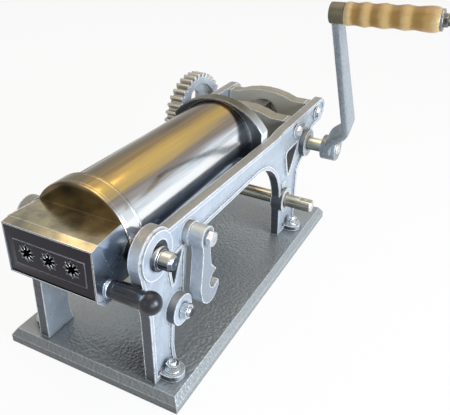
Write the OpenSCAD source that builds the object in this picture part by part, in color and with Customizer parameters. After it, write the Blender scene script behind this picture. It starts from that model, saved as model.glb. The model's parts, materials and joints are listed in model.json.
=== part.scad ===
// Hand-cranked churro press. A steel barrel with a three-star nozzle stands between two
// cast side frames on a board. A piston on a rack is driven by a pinion on the upper shaft,
// and a second, slower shaft below it turns the same gear when the crank is moved there.
// Lengths are millimetres. X runs to the crank side, Y to the rear and Z up. The origin is
// on the floor under the middle of the board. Places along Y are worked out from the
// board's front edge, and seat() moves them to that origin.

/* [Barrel] */
// Outer radius of the barrel
barrel_r = 51.5; // [46:0.5:58]
// Wall of the barrel tube
barrel_wall = 2; // [1.5:0.25:3]
// Length of the barrel tube
barrel_l = 282; // [240:1:330]
// Height of the barrel's axis above the floor
axis_z = 168.3; // [160:0.1:180]
// Length of the barrel left bare behind its rear flange
barrel_tail = 2; // [1:0.5:5]
// Thickness of the rear flange
flange_t = 17; // [12:0.5:20]
// How far the rear flange reaches past the barrel at each side
flange_side = 14.5; // [12:0.5:18]
// Radius of the rear flange's arched top
flange_crown_r = 80; // [72:1:95]
// Wall of the rear flange over the barrel's top
flange_crown_wall = 3.7; // [3:0.1:8]
// Wall of the rear flange under the barrel
flange_wall = 8.5; // [6:0.5:11]

/* [Cap and nozzle] */
// Wall of the cap's collar
cap_wall = 5.7; // [4:0.1:7]
// Length of the cap along the barrel
cap_l = 22.9; // [21:0.1:30]
// Thickness of the cap's front web
cap_web = 2.3; // [1.5:0.1:4]
// Depth of the nozzle box from the cap to its front edge
nozzle_depth = 46.1; // [38:0.1:56]
// How far the nozzle box stands in from the barrel's side
nozzle_inset = 0.5; // [0:0.25:4]
// Height of the nozzle's roof above the barrel's axis
nozzle_roof = 28.7; // [24:0.1:32]
// Depth of the nozzle's front below the barrel's axis
nozzle_drop = 27.6; // [24:0.1:32]
// Thickness of the nozzle's sheet
sheet_t = 1.5; // [1:0.1:2]
// Thickness of the die plate
die_t = 2.5; // [2:0.1:4]
// Distance between two star openings
star_pitch = 26; // [22:0.5:29]
// Outer radius of a star opening
star_r = 9; // [7:0.25:10]
// Radius at the foot of a star's rays
star_root_r = 4.6; // [3.5:0.1:5.5]
// Number of rays of a star
star_rays = 8; // [6:1:10]
// Half width of the raised panel round the stars
panel_half_w = 41; // [38:0.5:44]
// Height that the panel stands proud
panel_proud = 0.8; // [0.4:0.1:1]

/* [Trunnions and latches] */
// Radius of the trunnion pins
pin_r = 9; // [7:0.25:10]
// Distance from the board's front edge to the trunnion axis
pin_y = 21.5; // [19:0.5:26]
// Radius of the eye that the trunnion pin lies in
eye_hole_r = 13.5; // [12:0.25:15]
// Distance from the trunnion axis back to the latch pivot
latch_back = 59.8; // [56:0.1:66]
// Depth of the latch pivot below the barrel's axis
latch_drop = 6.8; // [4:0.1:10]
// Radius of the latch's boss
latch_boss_r = 12; // [11:0.25:13.5]
// Thickness of a latch hook
latch_t = 13.5; // [10:0.5:16]
// Radius of the latch bolt
latch_bolt_r = 5; // [4:0.5:6]

/* [Side frames] */
// Thickness of a side frame
frame_t = 12; // [10:0.5:14]
// Gap between a side frame and the rear flange
frame_gap = 1; // [0.5:0.25:2]
// Width of the rib round a side frame's edge
rib_w = 5; // [3:0.25:6]
// Depth of the panels between the ribs
panel_d = 2.3; // [1:0.1:3]
// Radius of the arch between the legs
arch_r = 80; // [70:1:84]
// Width of the rear leg at its foot
rear_leg_w = 60; // [54:1:64]
// Radius of the front eye's outline
eye_r = 27; // [25:0.5:28]
// Radius of the tail's end
tail_r = 17; // [15:0.5:18]
// Radius of the boss round the drive shaft
drive_boss_r = 22; // [20:0.5:23]
// Radius of the boss round the layshaft
lay_boss_r = 17; // [15.5:0.5:18]

// How much nearer the middle the left frame stands than the right one
left_in = 5; // [0:0.5:6]
// Radius of the left frame's eye ring
left_eye_r = 18.5; // [17:0.5:25]
// How much further back the left front leg bends
left_leg_back = 4; // [0:0.5:6]
// How much lower the front of the left frame's rail is
left_rail_drop = 4; // [0:0.5:6]

/* [Base board] */
// Thickness of the board
base_t = 17.5; // [15:0.5:25]
// Distance from a side frame's outer face to the board's edge
base_side = 31; // [28:1:45]
// Distance from the rear leg to the board's rear edge
base_rear = 51; // [40:1:70]
// How far the board's top bevel cuts in
bevel_in = 5.5; // [3:0.5:7]
// Height of the board's top bevel
bevel_h = 8.2; // [4:0.1:10]

/* [Drive] */
// Module of all the gear teeth
gear_module = 3.6; // [3.3:0.05:3.8]
// Teeth of the main gear
gear_teeth = 38; // [36:1:40]
// Teeth of the layshaft pinion
lay_teeth = 13; // [13:1:14]
// Teeth of the rack pinion
rack_pinion_teeth = 14; // [13:1:14]
// Pressure angle of all the gear teeth
pressure_angle = 20; // [20:0.5:22]
// Width of the main gear's face
gear_w = 20; // [16:1:24]
// Radius of both shafts
shaft_r = 9; // [8:0.25:10]
// How much the crank's seats on both shafts are turned down in radius
seat_step = 0.2; // [0.1:0.05:1]
// Slope of the line from the drive shaft down to the layshaft
lay_slope = 41.2; // [38:0.1:44]
// Width of the rack
rack_w = 20; // [16:1:24]
// Height of the rack's body, teeth included
rack_h = 17; // [15:0.5:18]
// Thickness of the front cross bar
front_bar_t = 22; // [18:0.5:26]
// Thickness of the rear cross bar
rear_bar_t = 20; // [18:0.5:26]
// Gap behind the rear flange where the piston parks
park_gap = 60; // [56:1:80]
// Thickness of the piston disc
piston_t = 14; // [12:0.5:16]

/* [Crank] */
// Distance from the shaft to the grip's spindle
crank_r = 248; // [200:1:280]
// Lean of the crank arm towards the front
crank_lean = 31.9; // [0:0.1:60]
// Radius of the crank's hub
hub_r = 17; // [15:0.5:20]
// Length of the crank's hub
hub_l = 22; // [20:0.5:28]
// How far the arm steps out from the hub
arm_step = 29; // [24:0.5:36]
// Thickness of the arm
arm_t = 9.5; // [8:0.5:12]
// Length of the wooden grip
grip_l = 95; // [85:1:115]
// Largest radius of the wooden grip
grip_r = 12.8; // [12:0.1:17]
// Radius of the grip's spindle
spindle_r = 5; // [4:0.5:6]
// Angle at which the grip rises from level
grip_cant = 2.8; // [0:0.1:5]

/* [Hidden] */
$fn = 64;

// Fits and allowances
over = 1;
arc_step = 9;
run_fit = 0.06;
side_fit = 0.3;
slide_fit = 0.2;
flank_play = 0.12;

// Metric fasteners: half sizes across the corners, and heights
m8_r = 4;
m8_hex_r = 7.5;
m8_head_h = 5.3;
m8_nut_h = 6.5;
washer_wall = 4.4;
washer_t = 1.6;
thread_past_nut = 3;
chamfer = 1;

// Barrel, flange and cap
bore_r = barrel_r - barrel_wall;
nozzle_half_w = barrel_r - nozzle_inset;
cap_r = barrel_r + cap_wall;
cap_y0 = pin_y - cap_l / 4;
cap_y1 = cap_y0 + cap_l;
barrel_y0 = cap_y0 + cap_web;
barrel_y1 = barrel_y0 + barrel_l;
flange_y1 = barrel_y1 - barrel_tail;
flange_y0 = flange_y1 - flange_t;
flange_half_w = barrel_r + flange_side;
flange_foot_drop = 18.3;
flange_foot_z = axis_z - flange_foot_drop;
cap_edge = 1.5;

// Side frame across X
frame_x0 = flange_half_w + frame_gap;
frame_x1 = frame_x0 + frame_t;
bar_pad = 5;
bar_half_l = frame_x0 - bar_pad;
eye_boss_h = 2.5;
latch_boss_h = 5;
tie_boss_h = 8;
drive_boss_h = 7;
lay_boss_h = 5;
bolt_pad_h = 1;

// Rack, pinion and cross bars
pitch_r = gear_module * rack_pinion_teeth / 2;
addendum = gear_module * 0.8;
dedendum = gear_module * 1.1;
tooth_pitch = PI * gear_module;
rack_drop = 12;
rack_z0 = axis_z - rack_drop;
rack_z1 = rack_z0 + rack_h;
stub_z = rack_z0 + rack_h / 2;
rack_pitch_z = rack_z0 + addendum;
drive_z = rack_pitch_z - pitch_r;
pinion_tip_r = pitch_r + addendum;
// Where the front bar's lower edge clears the pinion's tips, as shares of their radius
tip_clear_y = 0.905;
tip_clear_z = 0.56;
front_bar_y0 = flange_y1 + park_gap;
front_bar_y1 = front_bar_y0 + front_bar_t;
drive_y = front_bar_y1 + pinion_tip_r * tip_clear_y;
bar_z0 = drive_z + pinion_tip_r * tip_clear_z;
rear_bar_gap = 3.4;
rear_bar_y0 = drive_y + pinion_tip_r + rear_bar_gap;
rear_bar_y1 = rear_bar_y0 + rear_bar_t;
bar_bolt_y = [front_bar_y0 + front_bar_t / 2, rear_bar_y0 + rear_bar_t / 2];
bar_bolt_drop = 4;
bar_bolt_z = axis_z - bar_bolt_drop;
bar_bolt_l = 40;
bar_top_rise = 11.2;
bar_crown_rise = 20;
bar_flat_w = 18;
bar_relief_r = 22;
bar_relief_d = 4;

// Gears and layshaft
gear_r = gear_module * gear_teeth / 2;
lay_r = gear_module * lay_teeth / 2;
centre_distance = gear_r + lay_r;
lay_y = drive_y - centre_distance * cos(lay_slope);
lay_z = drive_z - centre_distance * sin(lay_slope);
gear_gap = 9;
gear_x1 = -frame_x1 - drive_boss_h - gear_gap;
gear_x0 = gear_x1 - gear_w;
gear_rim = 9;
gear_web_d = 7;
gear_hub_r = 22;
gear_holes = 6;
gear_hole_r = 10.5;
gear_hole_land = 3.5;
gear_hole_turn = -10;
gear_hole_at_r = gear_hub_r + gear_hole_land + gear_hole_r;
gear_hub_out = 3;
pinion_w = 24;
key_w = 5;
key_in = 2.5;
key_l = 18;
gear_key_x = (gear_x0 + gear_x1 - key_l) / 2;
bush_wall = 3;
collar_r = 15;
collar_w = 8;
collar_gap = 0.4;
set_screw_r = 2.5;
oil_hole_r = 1.8;
oil_hole_d = 6;
oil_hole_rise = 22.7;
shaft_chamfer = 1.2;
seat_r = shaft_r - seat_step;

// Crank across X and along the arm
hub_gap = 22;
hub_x0 = frame_x1 + drive_boss_h + hub_gap;
hub_x1 = hub_x0 + hub_l;
crank_key_x = hub_x1 - key_l;
arm_x_low = hub_x0 + hub_l / 2;
arm_x_high = arm_x_low + arm_step;
arm_bend_from = 12;
arm_bend_to = 62;
arm_foot_half_w = 16;
arm_top_half_w = 8;
arm_settle = 2;
top_boss_r = 11;
top_boss_l = 16;
top_boss_proud = 2.1;
top_boss_x1 = arm_x_high + arm_t / 2 + top_boss_proud;
top_boss_x0 = top_boss_x1 - top_boss_l;
grip_x0 = top_boss_x1 + side_fit;
grip_x1 = grip_x0 + grip_l;
spindle_sunk = 1;
grip_washer_r = 10.8;
grip_washer_t = 2;
dome_r = 8;
dome_h = 9;
lay_end_past = 38;
lay_shoulder = 1;
lay_flat_l = 18;
lay_flat_d = 1.6;
lay_dimple_r = 1.5;

// Piston and its travel
piston_gap = 6;
piston_fit = 0.4;
seal_fit = 0.1;
seal_w = 5;
seal_d = 4;
stub_r = 7;
piston_nut_h = 8;
piston_nut_r = 12;
piston_washer_t = 4;
piston_washer_r = 16;
nut_y0 = barrel_y0 + piston_gap;
piston_y0 = nut_y0 + piston_nut_h;
piston_y1 = piston_y0 + piston_t;
rack_y0 = piston_y1 + piston_washer_t;
rack_tail = 5;
rack_y1 = rear_bar_y1 + rack_tail;
park_clear = 3;
travel = barrel_y1 + park_clear - nut_y0;
rack_plain = 44;

// Latch hook: places measured from its pivot, as shares of its reach
latch_y = pin_y + latch_back;
latch_z = axis_z - latch_drop;
latch_reach = norm([latch_back, latch_drop]);
latch_side_gap = 2.2;
latch_x0 = frame_x1 + latch_boss_h + side_fit;
latch_x1 = latch_x0 + latch_side_gap + latch_t;
latch_boss_turn = [-45, -115];
latch_hang = 13.5;
latch_head_r = 8.3;
latch_head_h = 6.3;
notch_fit = 0.5;
notch_sweep = 24;
hook_shares = [
    [-0.17, 0.02, 0], [-0.145, -0.30, 0.3], [-0.185, -0.62, 0.3], [-0.235, -0.93, 0.35],
    [-0.17, -1.23, 1], [0.02, -1.38, 1], [0.25, -1.38, 1], [0.39, -1.21, 0.35],
    [0.39, -1.05, 0.04], [0.31, -0.80, 0.08], [0.125, -0.60, 0.35], [0.085, -0.30, 0.3],
    [0.17, 0.02, 0]
];

// Trunnion pin across X
pin_pad_r = 12.5;
pin_pad_proud = 0.3;
pin_flange_t = 4;
pin_collar_r = 12.5;
pin_collar_gap = 0.4;
pin_x0 = cap_r + pin_pad_proud;
eye_off_y = 3.1;
eye_off_z = 2.7;
eye_y = pin_y + eye_off_y;
eye_z = axis_z + eye_off_z;

// Side frame along Y and Z
foot_front_y = 10;
leg_front_y = 8;
leg_bend_drop = 64.3;
front_leg_w = 39;
foot_heel = 4;
foot_heel_h = 12.5;
eye_ring_y = pin_y + 0.02 * eye_r;
eye_ring_z = axis_z + 0.06 * eye_r;
rail_front_rise = 16.7;
rail_low_rise = 9;
rail_rear_rise = 11.7;
rail_drop = 16.6;
rail_ramp = [8, 24];
tie_y = 53.5;
tie_drop = 81.6;
tie_z = axis_z - tie_drop;
tie_boss_r = 18;
tie_boss_turn = [18, -104];
tie_rod_r = 8;
tie_thread_r = 5;
tie_nut_r = 9;
tie_nut_h = 7.5;
waist_y = 73;
waist_z0 = tie_z + 30.6;
waist_z1 = tie_z + 46.8;
rear_leg_set = 18.5;
rear_leg_y1 = drive_y - rear_leg_set;
rear_leg_y0 = rear_leg_y1 - rear_leg_w;
arch_y1 = rear_leg_y0 - foot_heel;
rear_leg_bend_drop = 68.25;
tail_past_bar = 12;
tail_y = rear_bar_y1 + tail_past_bar;
tail_z = axis_z + rail_rear_rise - tail_r;
tail_fillet = 12;
drive_boss_turn = -62;
throat_share = 1.3;
ledge_h = 7;
ledge_w = 9;
base_w = 2 * (frame_x1 + base_side);
base_l = rear_leg_y1 + base_rear;

// Windows of a side frame: a middle, a size, and corners as shares of that size
front_window_at = [pin_y + 34, axis_z - 35];
front_window_size = [25, 38];
front_window_shares = [[-0.48, 0.41, 0.1], [0.52, 0.50, 0.07], [-0.22, -0.47, 0.05]];
rear_window_at = [drive_y - 49.5, axis_z - 37.3];
rear_window_size = [45, 42];
rear_window_shares = [[-0.44, 0.31, 0.14], [0.55, 0.33, 0.07], [-0.13, -0.66, 0.09]];
window_rim = 3.2;

// Feet of the side frames
lug_r = 12.5;
lug_out = 8;
lug_h = 7;
lug_x = frame_x1 + lug_out;
front_lug_y = foot_front_y + 21;
rear_lug_y = rear_leg_y0 + 33;
bolt_head_r = 9.5;
bolt_head_h = 4;
bolt_head_room = 1.5;

// Nozzle box and its handle
nozzle_y0 = cap_y0 - nozzle_depth;
nozzle_fold = 9.4;
nozzle_lip_drop = 2;
nozzle_chin = 9.9;
crease_back = 18.8;
crease_drop = 18.3;
chin_back = 22.8;
slice = 0.5;
die_set_in = 1;
die_fit = 0.2;
panel_up = 11.7;
panel_down = 14.8;
handle_y = nozzle_y0 + 18.9;
handle_drop = 23.3;
handle_z = axis_z - handle_drop;
handle_stud_r = 4;
handle_head_r = 6.5;
handle_head_h = 4;
handle_seat = 0.3;
handle_l = 52;
handle_base_r = 9;
handle_ball_r = 11;
handle_flutes = 8;
handle_flute_r = 1.2;
handle_washer_r = 9;

// Moves places given from the board's front edge to the model's own origin
module seat() {
    translate([0, -base_l / 2, 0]) children();
}

// A flat shape drawn in Y and Z, made thick from x0 to x1
module slab_x(x0, x1) {
    translate([x0, 0, 0]) rotate([90, 0, 90]) linear_extrude(x1 - x0) children();
}

// A flat shape drawn in X and Z, made thick from y0 to y1
module slab_y(y0, y1) {
    translate([0, y1, 0]) rotate([90, 0, 0]) linear_extrude(y1 - y0) children();
}

// A round bar along X
module rod_x(r, x0, x1, y, z) {
    translate([x0, y, z]) rotate([0, 90, 0]) cylinder(r = r, h = x1 - x0);
}

// A round bar along Y
module rod_y(r, y0, y1, x, z) {
    translate([x, y1, z]) rotate([90, 0, 0]) cylinder(r = r, h = y1 - y0);
}

// A round bar along X with both ends chamfered by c
module pin_x(r, x0, x1, y, z, c) {
    translate([x0, y, z]) rotate([0, 90, 0]) rotate_extrude()
        polygon([[0, 0], [r - c, 0], [r, c], [r, x1 - x0 - c], [r - c, x1 - x0], [0, x1 - x0]]);
}

// A hexagon head or nut along X
module hex_x(r, x0, x1, y, z) {
    translate([x0, y, z]) rotate([0, 90, 0]) cylinder(r = r, h = x1 - x0, $fn = 6);
}

// Right-hand places carried over to the left frame, which stands nearer the middle
module on_left() {
    translate([left_in, 0, 0]) mirror([1, 0, 0]) children();
}

// The same solid at both side frames
module both_sides() {
    children();
    on_left() children();
}

// Points of an arc round c from angle a0 to angle a1
function arc(c, r, a0, a1) =
    let (n = max(1, ceil(abs(a1 - a0) / arc_step)))
    [for (i = [0:n]) let (a = a0 + (a1 - a0) * i / n) c + r * [cos(a), sin(a)]];

// One corner p between its neighbours a and b, rounded to radius r
function round_corner(a, p, b, r) =
    r <= 0 ? [p] :
    let (
        u = (a - p) / norm(a - p),
        v = (b - p) / norm(b - p),
        half = acos(u * v) / 2,
        c = p + (u + v) / norm(u + v) * r / sin(half),
        s = p + u * r / tan(half) - c,
        e = p + v * r / tan(half) - c,
        a0 = atan2(s[1], s[0]),
        turn = atan2(s[0] * e[1] - s[1] * e[0], s * e)
    ) arc(c, r, a0, a0 + turn);

// A polygon from corners [x, y, radius]
function rounded(pts) = let (n = len(pts)) [
    for (i = [0:n - 1])
        let (a = pts[(i + n - 1) % n], p = pts[i], b = pts[(i + 1) % n])
        each round_corner([a[0], a[1]], [p[0], p[1]], [b[0], b[1]], p[2])
];

// A polygon that runs clockwise, drawn in by d on every side
function inset(pts, d) = let (n = len(pts)) [
    for (i = [0:n - 1])
        let (
            p = pts[i],
            u = p - pts[(i + n - 1) % n],
            v = pts[(i + 1) % n] - p,
            nu = [u[1], -u[0]] / norm(u),
            nv = [v[1], -v[0]] / norm(v)
        ) p + d * (nu + nv) / (1 + nu * nv)
];

// Corners given as shares of a size, round a middle
function spread(at, size, shares) = [
    for (s = shares) [at[0] + s[0] * size[0], at[1] + s[1] * size[1], s[2] * min(size[0], size[1])]
];

// Gear teeth: the involute's polar angle, and half the angle that a tooth takes at a radius
function involute(a) = tan(a) * 180 / PI - a;
function tooth_half(r, teeth) =
    let (pr = gear_module * teeth / 2, rb = pr * cos(pressure_angle))
    90 / teeth - flank_play / pr * 180 / PI + involute(pressure_angle)
        - involute(acos(min(1, rb / max(r, rb))));
function tooth_radii(teeth) =
    let (
        pr = gear_module * teeth / 2,
        low = pr - dedendum,
        high = pr + addendum,
        from = max(low, pr * cos(pressure_angle)),
        rise = (high - from) / 4
    ) concat(low < from ? [low] : [], [for (i = [0:4]) from + rise * i]);
function gear_outline(teeth) =
    let (radii = tooth_radii(teeth), last = len(radii) - 1)
    [for (k = [0:teeth - 1], side = [-1, 1], i = [0:last])
        let (
            r = side < 0 ? radii[i] : radii[last - i],
            a = 360 * k / teeth + side * tooth_half(r, teeth)
        ) r * [cos(a), sin(a)]];

// A toothed rack with its teeth down, one of them centred at y_mesh
function rack_outline(y0, y_from, y1, y_mesh) =
    let (
        half = tooth_pitch / 4 - flank_play,
        root_z = rack_pitch_z + dedendum,
        slope = tan(pressure_angle),
        first = ceil((y_from - y_mesh) / tooth_pitch),
        last = floor((y1 - y_mesh - tooth_pitch / 2) / tooth_pitch)
    )
    concat(
        [[y0, rack_z0], [y0, rack_z1], [y1, rack_z1], [y1, root_z]],
        [for (k = [last:-1:first]) let (c = y_mesh + k * tooth_pitch) each [
            [c + half + dedendum * slope, root_z],
            [c + half - addendum * slope, rack_z0],
            [c - half + addendum * slope, rack_z0],
            [c - half - dedendum * slope, root_z]
        ]],
        [[y_mesh + (first - 1) * tooth_pitch + tooth_pitch / 2, root_z],
         [y_mesh + (first - 1) * tooth_pitch + tooth_pitch / 2, rack_z0]]
    );

// Outline of the board's section, for one width
function board_section(w) = [
    [-w / 2, 0], [w / 2, 0], [w / 2, base_t - bevel_h], [w / 2 - bevel_in, base_t],
    [bevel_in - w / 2, base_t], [-w / 2, base_t - bevel_h]
];

// Outline of a side frame in Y and Z, clockwise from the front foot
function frame_outline(eye, ring_r, leg_y, rail_rise) =
    let (
        bend_z = axis_z - leg_bend_drop,
        to_eye = eye - [leg_y, bend_z],
        eye_low = 180 + atan2(to_eye[1], to_eye[0]) - acos(ring_r / norm(to_eye)),
        eye_high = asin((axis_z + rail_rise - eye[1]) / ring_r),
        rail_z0 = axis_z - rail_drop,
        ramp_y = [flange_y1 + rail_ramp[0], flange_y1 + rail_ramp[1]],
        bend_y = rear_leg_y1,
        heel_z = base_t + foot_heel_h
    )
    concat(
        [[foot_front_y, base_t], [leg_y, bend_z]],
        arc(eye, ring_r, eye_low, eye_high),
        [[ramp_y[0], axis_z + rail_low_rise], [ramp_y[1], axis_z + rail_rear_rise]],
        arc([tail_y, tail_z], tail_r, 90, -90),
        round_corner([tail_y, tail_z - tail_r], [drive_y + throat_share * drive_boss_r, tail_z - tail_r],
            [drive_y + drive_boss_r, drive_z], tail_fillet),
        arc([drive_y, drive_z], drive_boss_r, 0, drive_boss_turn),
        round_corner([drive_y, drive_z - drive_boss_r], [bend_y, axis_z - rear_leg_bend_drop],
            [bend_y, base_t], drive_boss_r),
        [[bend_y, base_t], [rear_leg_y0, base_t]],
        arc([arch_y1 - arch_r, rail_z0 - arch_r], arch_r, 0, 90),
        arc([latch_y, latch_z], latch_boss_r + 2 * chamfer, latch_boss_turn[0], latch_boss_turn[1]),
        [[waist_y + chamfer, waist_z1], [waist_y, waist_z0]],
        arc([tie_y, tie_z], tie_boss_r, tie_boss_turn[0], tie_boss_turn[1]),
        [[leg_front_y + front_leg_w, heel_z + foot_heel_h],
         [leg_front_y + front_leg_w + chamfer, heel_z],
         [foot_front_y + front_leg_w + 2 * chamfer, base_t]]
    );

// Outline of the rear flange in X and Z
function flange_outline() =
    let (
        crown_z = axis_z + barrel_r + flange_crown_wall - flange_crown_r,
        left_w = flange_half_w - left_in,
        low_r = barrel_r + flange_wall,
        low = asin(flange_foot_drop / low_r)
    )
    concat(
        arc([0, crown_z], flange_crown_r, 180 - acos(left_w / flange_crown_r),
            acos(flange_half_w / flange_crown_r)),
        [[flange_half_w, flange_foot_z]],
        arc([0, axis_z], low_r, -low, low - 180),
        [[-left_w, flange_foot_z]]
    );

// Outline of a cross bar in X and Z: flat ends and an arched crown
function bar_outline() =
    let (
        z1 = axis_z + bar_top_rise,
        half = bar_half_l - bar_flat_w,
        rise = bar_crown_rise - bar_top_rise,
        r = (half * half + rise * rise) / (2 * rise),
        a = asin(half / r)
    )
    concat(
        [[left_in - bar_half_l, bar_z0], [left_in - bar_half_l, z1]],
        arc([0, z1 + rise - r], r, 90 + a, 90 - a),
        [[bar_half_l, z1], [bar_half_l, bar_z0]]
    );

// Outline of a star opening
function star_outline() = [
    for (i = [0:2 * star_rays - 1])
        let (r = i % 2 == 0 ? star_r : star_root_r, a = 180 * i / star_rays)
        r * [cos(a), sin(a)]
];

// The board: beveled along its top edges, with four bolt holes sunk from below
module base_board() {
    color("#6d7476") seat() difference() {
        intersection() {
            slab_y(0, base_l) polygon(board_section(base_w));
            translate([0, base_l / 2, 0]) slab_x(-base_w / 2, base_w / 2)
                polygon(board_section(base_l));
        }
        both_sides() for (y = [front_lug_y, rear_lug_y]) translate([lug_x, y, 0]) {
            translate([0, 0, -over]) cylinder(r = m8_r + slide_fit, h = base_t + 2 * over);
            translate([0, 0, -over])
                cylinder(r = bolt_head_r + bolt_head_room, h = bolt_head_h + bolt_head_room + over);
        }
    }
}

// Foot lug of a side frame at one place along the leg
module foot_lug(y) {
    translate([lug_x, y, base_t]) cylinder(r = lug_r, h = lug_h);
    translate([frame_x1 - over, y - lug_r, base_t]) cube([lug_out + over, 2 * lug_r, lug_h]);
}

// A round boss standing h proud of a side frame's outer face
module frame_boss(r, h, y, z) {
    rod_x(r, frame_x1 - panel_d - over, frame_x1 + h, y, z);
}

// Side frame with its plain work done: a ribbed casting with bosses, windows, pads for the
// cross bars and feet
module side_frame(eye, ring_r, leg_y, rail_rise, ledge) {
    outline = frame_outline(eye, ring_r, leg_y, rail_rise);
    windows = [
        spread(front_window_at, front_window_size, front_window_shares),
        spread(rear_window_at, rear_window_size, rear_window_shares)
    ];
    difference() {
        union() {
            difference() {
                slab_x(frame_x0, frame_x1) polygon(outline);
                difference() {
                    slab_x(frame_x1 - panel_d, frame_x1 + over) polygon(inset(outline, rib_w));
                    for (w = windows) slab_x(frame_x1 - panel_d - over, frame_x1 + 2 * over)
                        polygon(inset(rounded(w), -window_rim));
                }
            }
            frame_boss(ring_r - rib_w / 2, eye_boss_h, eye[0], eye[1]);
            frame_boss(tie_boss_r - chamfer, tie_boss_h, tie_y, tie_z);
            frame_boss(drive_boss_r - 2 * chamfer, drive_boss_h, drive_y, drive_z);
            rod_x(lay_boss_r, frame_x0, frame_x1 + lay_boss_h, lay_y, lay_z);
            for (y = bar_bolt_y) frame_boss(m8_hex_r + 2 * chamfer, bolt_pad_h, y, bar_bolt_z);
            for (p = [[drive_y, drive_z], [lay_y, lay_z]])
                frame_boss(3 * oil_hole_r, 0, p[0], p[1] + oil_hole_rise);
            for (b = [[front_bar_y0, front_bar_t], [rear_bar_y0, rear_bar_t]])
                translate([bar_half_l, b[0], bar_z0])
                    cube([bar_pad + over, b[1], axis_z + bar_top_rise - bar_z0]);
            translate([frame_x0 - ledge, flange_y0, flange_foot_z - ledge_h])
                cube([ledge + over, flange_t, ledge_h]);
            foot_lug(front_lug_y);
            foot_lug(rear_lug_y);
        }
        for (w = windows) slab_x(frame_x0 - over, frame_x1 + over) polygon(rounded(w));
        rod_x(tie_thread_r, frame_x0 - over, frame_x1 + tie_boss_h + over, tie_y, tie_z);
        rod_x(shaft_r + bush_wall, frame_x0 - over, frame_x1 + drive_boss_h + over, drive_y, drive_z);
        rod_x(shaft_r + bush_wall, frame_x0 - over, frame_x1 + lay_boss_h + over, lay_y, lay_z);
        for (y = bar_bolt_y)
            rod_x(m8_r, bar_half_l - over, frame_x1 + bolt_pad_h + over, y, bar_bolt_z);
        for (p = [[drive_y, drive_z], [lay_y, lay_z]])
            rod_x(oil_hole_r, frame_x1 - oil_hole_d, frame_x1 + over, p[0], p[1] + oil_hole_rise);
        for (y = [front_lug_y, rear_lug_y]) translate([lug_x, y, base_t - over])
            cylinder(r = m8_r, h = lug_h + 2 * over);
    }
}

// Right side frame: a wide eye for the trunnion pin, and the boss of the latch
module right_side_frame() {
    color("#b4bfc8") seat() difference() {
        union() {
            side_frame([eye_ring_y, eye_ring_z], eye_r, leg_front_y, rail_front_rise, ledge_w);
            frame_boss(latch_boss_r + chamfer, latch_boss_h, latch_y, latch_z);
        }
        rod_x(eye_hole_r, frame_x0 - over, frame_x1 + eye_boss_h + over, eye_y, eye_z);
        rod_x(latch_bolt_r, frame_x0 - over, frame_x1 + latch_boss_h + over, latch_y, latch_z);
    }
}

// Left side frame: its eye is a plain bearing for the pin, and it has no latch
module left_side_frame() {
    color("#b4bfc8") seat() on_left() difference() {
        side_frame([eye_y, eye_ring_z], left_eye_r, leg_front_y + left_leg_back,
            rail_front_rise - left_rail_drop, ledge_w - left_in);
        rod_x(pin_r + slide_fit, frame_x0 - over, frame_x1 + eye_boss_h + over, pin_y, axis_z);
    }
}

// Places of the four foot bolts
module at_feet() {
    both_sides() for (y = [front_lug_y, rear_lug_y]) translate([lug_x, y, 0]) children();
}

module foot_bolts() {
    head_z = bolt_head_room;
    top_z = base_t + lug_h + washer_t + m8_nut_h + thread_past_nut;
    color("#c9ccd0") seat() at_feet() {
        translate([0, 0, head_z]) cylinder(r = bolt_head_r, h = bolt_head_h);
        translate([0, 0, head_z]) cylinder(r = m8_r, h = top_z - head_z);
    }
}

module foot_washers() {
    color("#c9ccd0") seat() at_feet() translate([0, 0, base_t + lug_h]) difference() {
        cylinder(r = m8_r + washer_wall, h = washer_t);
        translate([0, 0, -over]) cylinder(r = m8_r, h = washer_t + 2 * over);
    }
}

module foot_nuts() {
    color("#c9ccd0") seat() at_feet() translate([0, 0, base_t + lug_h + washer_t]) difference() {
        cylinder(r = m8_hex_r, h = m8_nut_h, $fn = 6);
        translate([0, 0, -over]) cylinder(r = m8_r, h = m8_nut_h + 2 * over);
    }
}

// Tie rod between the front legs: a plain middle with a thread through each frame
module front_tie_rod() {
    end_x = frame_x1 + tie_boss_h + tie_nut_h + thread_past_nut;
    color("#c2c6c9") seat() {
        rod_x(tie_rod_r, left_in - frame_x0, frame_x0, tie_y, tie_z);
        pin_x(tie_thread_r, left_in - end_x, end_x, tie_y, tie_z, chamfer);
    }
}

module tie_rod_nuts() {
    x0 = frame_x1 + tie_boss_h;
    color("#c9ccd0") seat() both_sides() difference() {
        hex_x(tie_nut_r, x0, x0 + tie_nut_h, tie_y, tie_z);
        rod_x(tie_thread_r, x0 - over, x0 + tie_nut_h + over, tie_y, tie_z);
    }
}

// A cross bar: arched on top, slotted for the rack, with a bolt hole in each end
module cross_bar(y0, t, relief) {
    y_mid = y0 + t / 2;
    slot_z0 = rack_z0 - slide_fit;
    difference() {
        slab_y(y0, y0 + t) polygon(bar_outline());
        translate([-rack_w / 2 - slide_fit, y0 - over, slot_z0])
            cube([rack_w + 2 * slide_fit, t + 2 * over, rack_h + 2 * slide_fit]);
        if (relief) intersection() {
            rod_y(bar_relief_r, y0 - over, y0 + bar_relief_d, 0, rack_z1 + chamfer - bar_relief_r);
            translate([-bar_relief_r, y0 - 2 * over, rack_z0])
                cube([2 * bar_relief_r, bar_relief_d + 3 * over, 2 * bar_relief_r]);
        }
        both_sides() rod_x(m8_r, bar_half_l + bar_pad - bar_bolt_l, bar_half_l + over, y_mid, bar_bolt_z);
    }
}

module front_cross_bar() {
    color("#a9adae") seat() cross_bar(front_bar_y0, front_bar_t, false);
}

module rear_cross_bar() {
    color("#a9adae") seat() cross_bar(rear_bar_y0, rear_bar_t, true);
}

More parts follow.
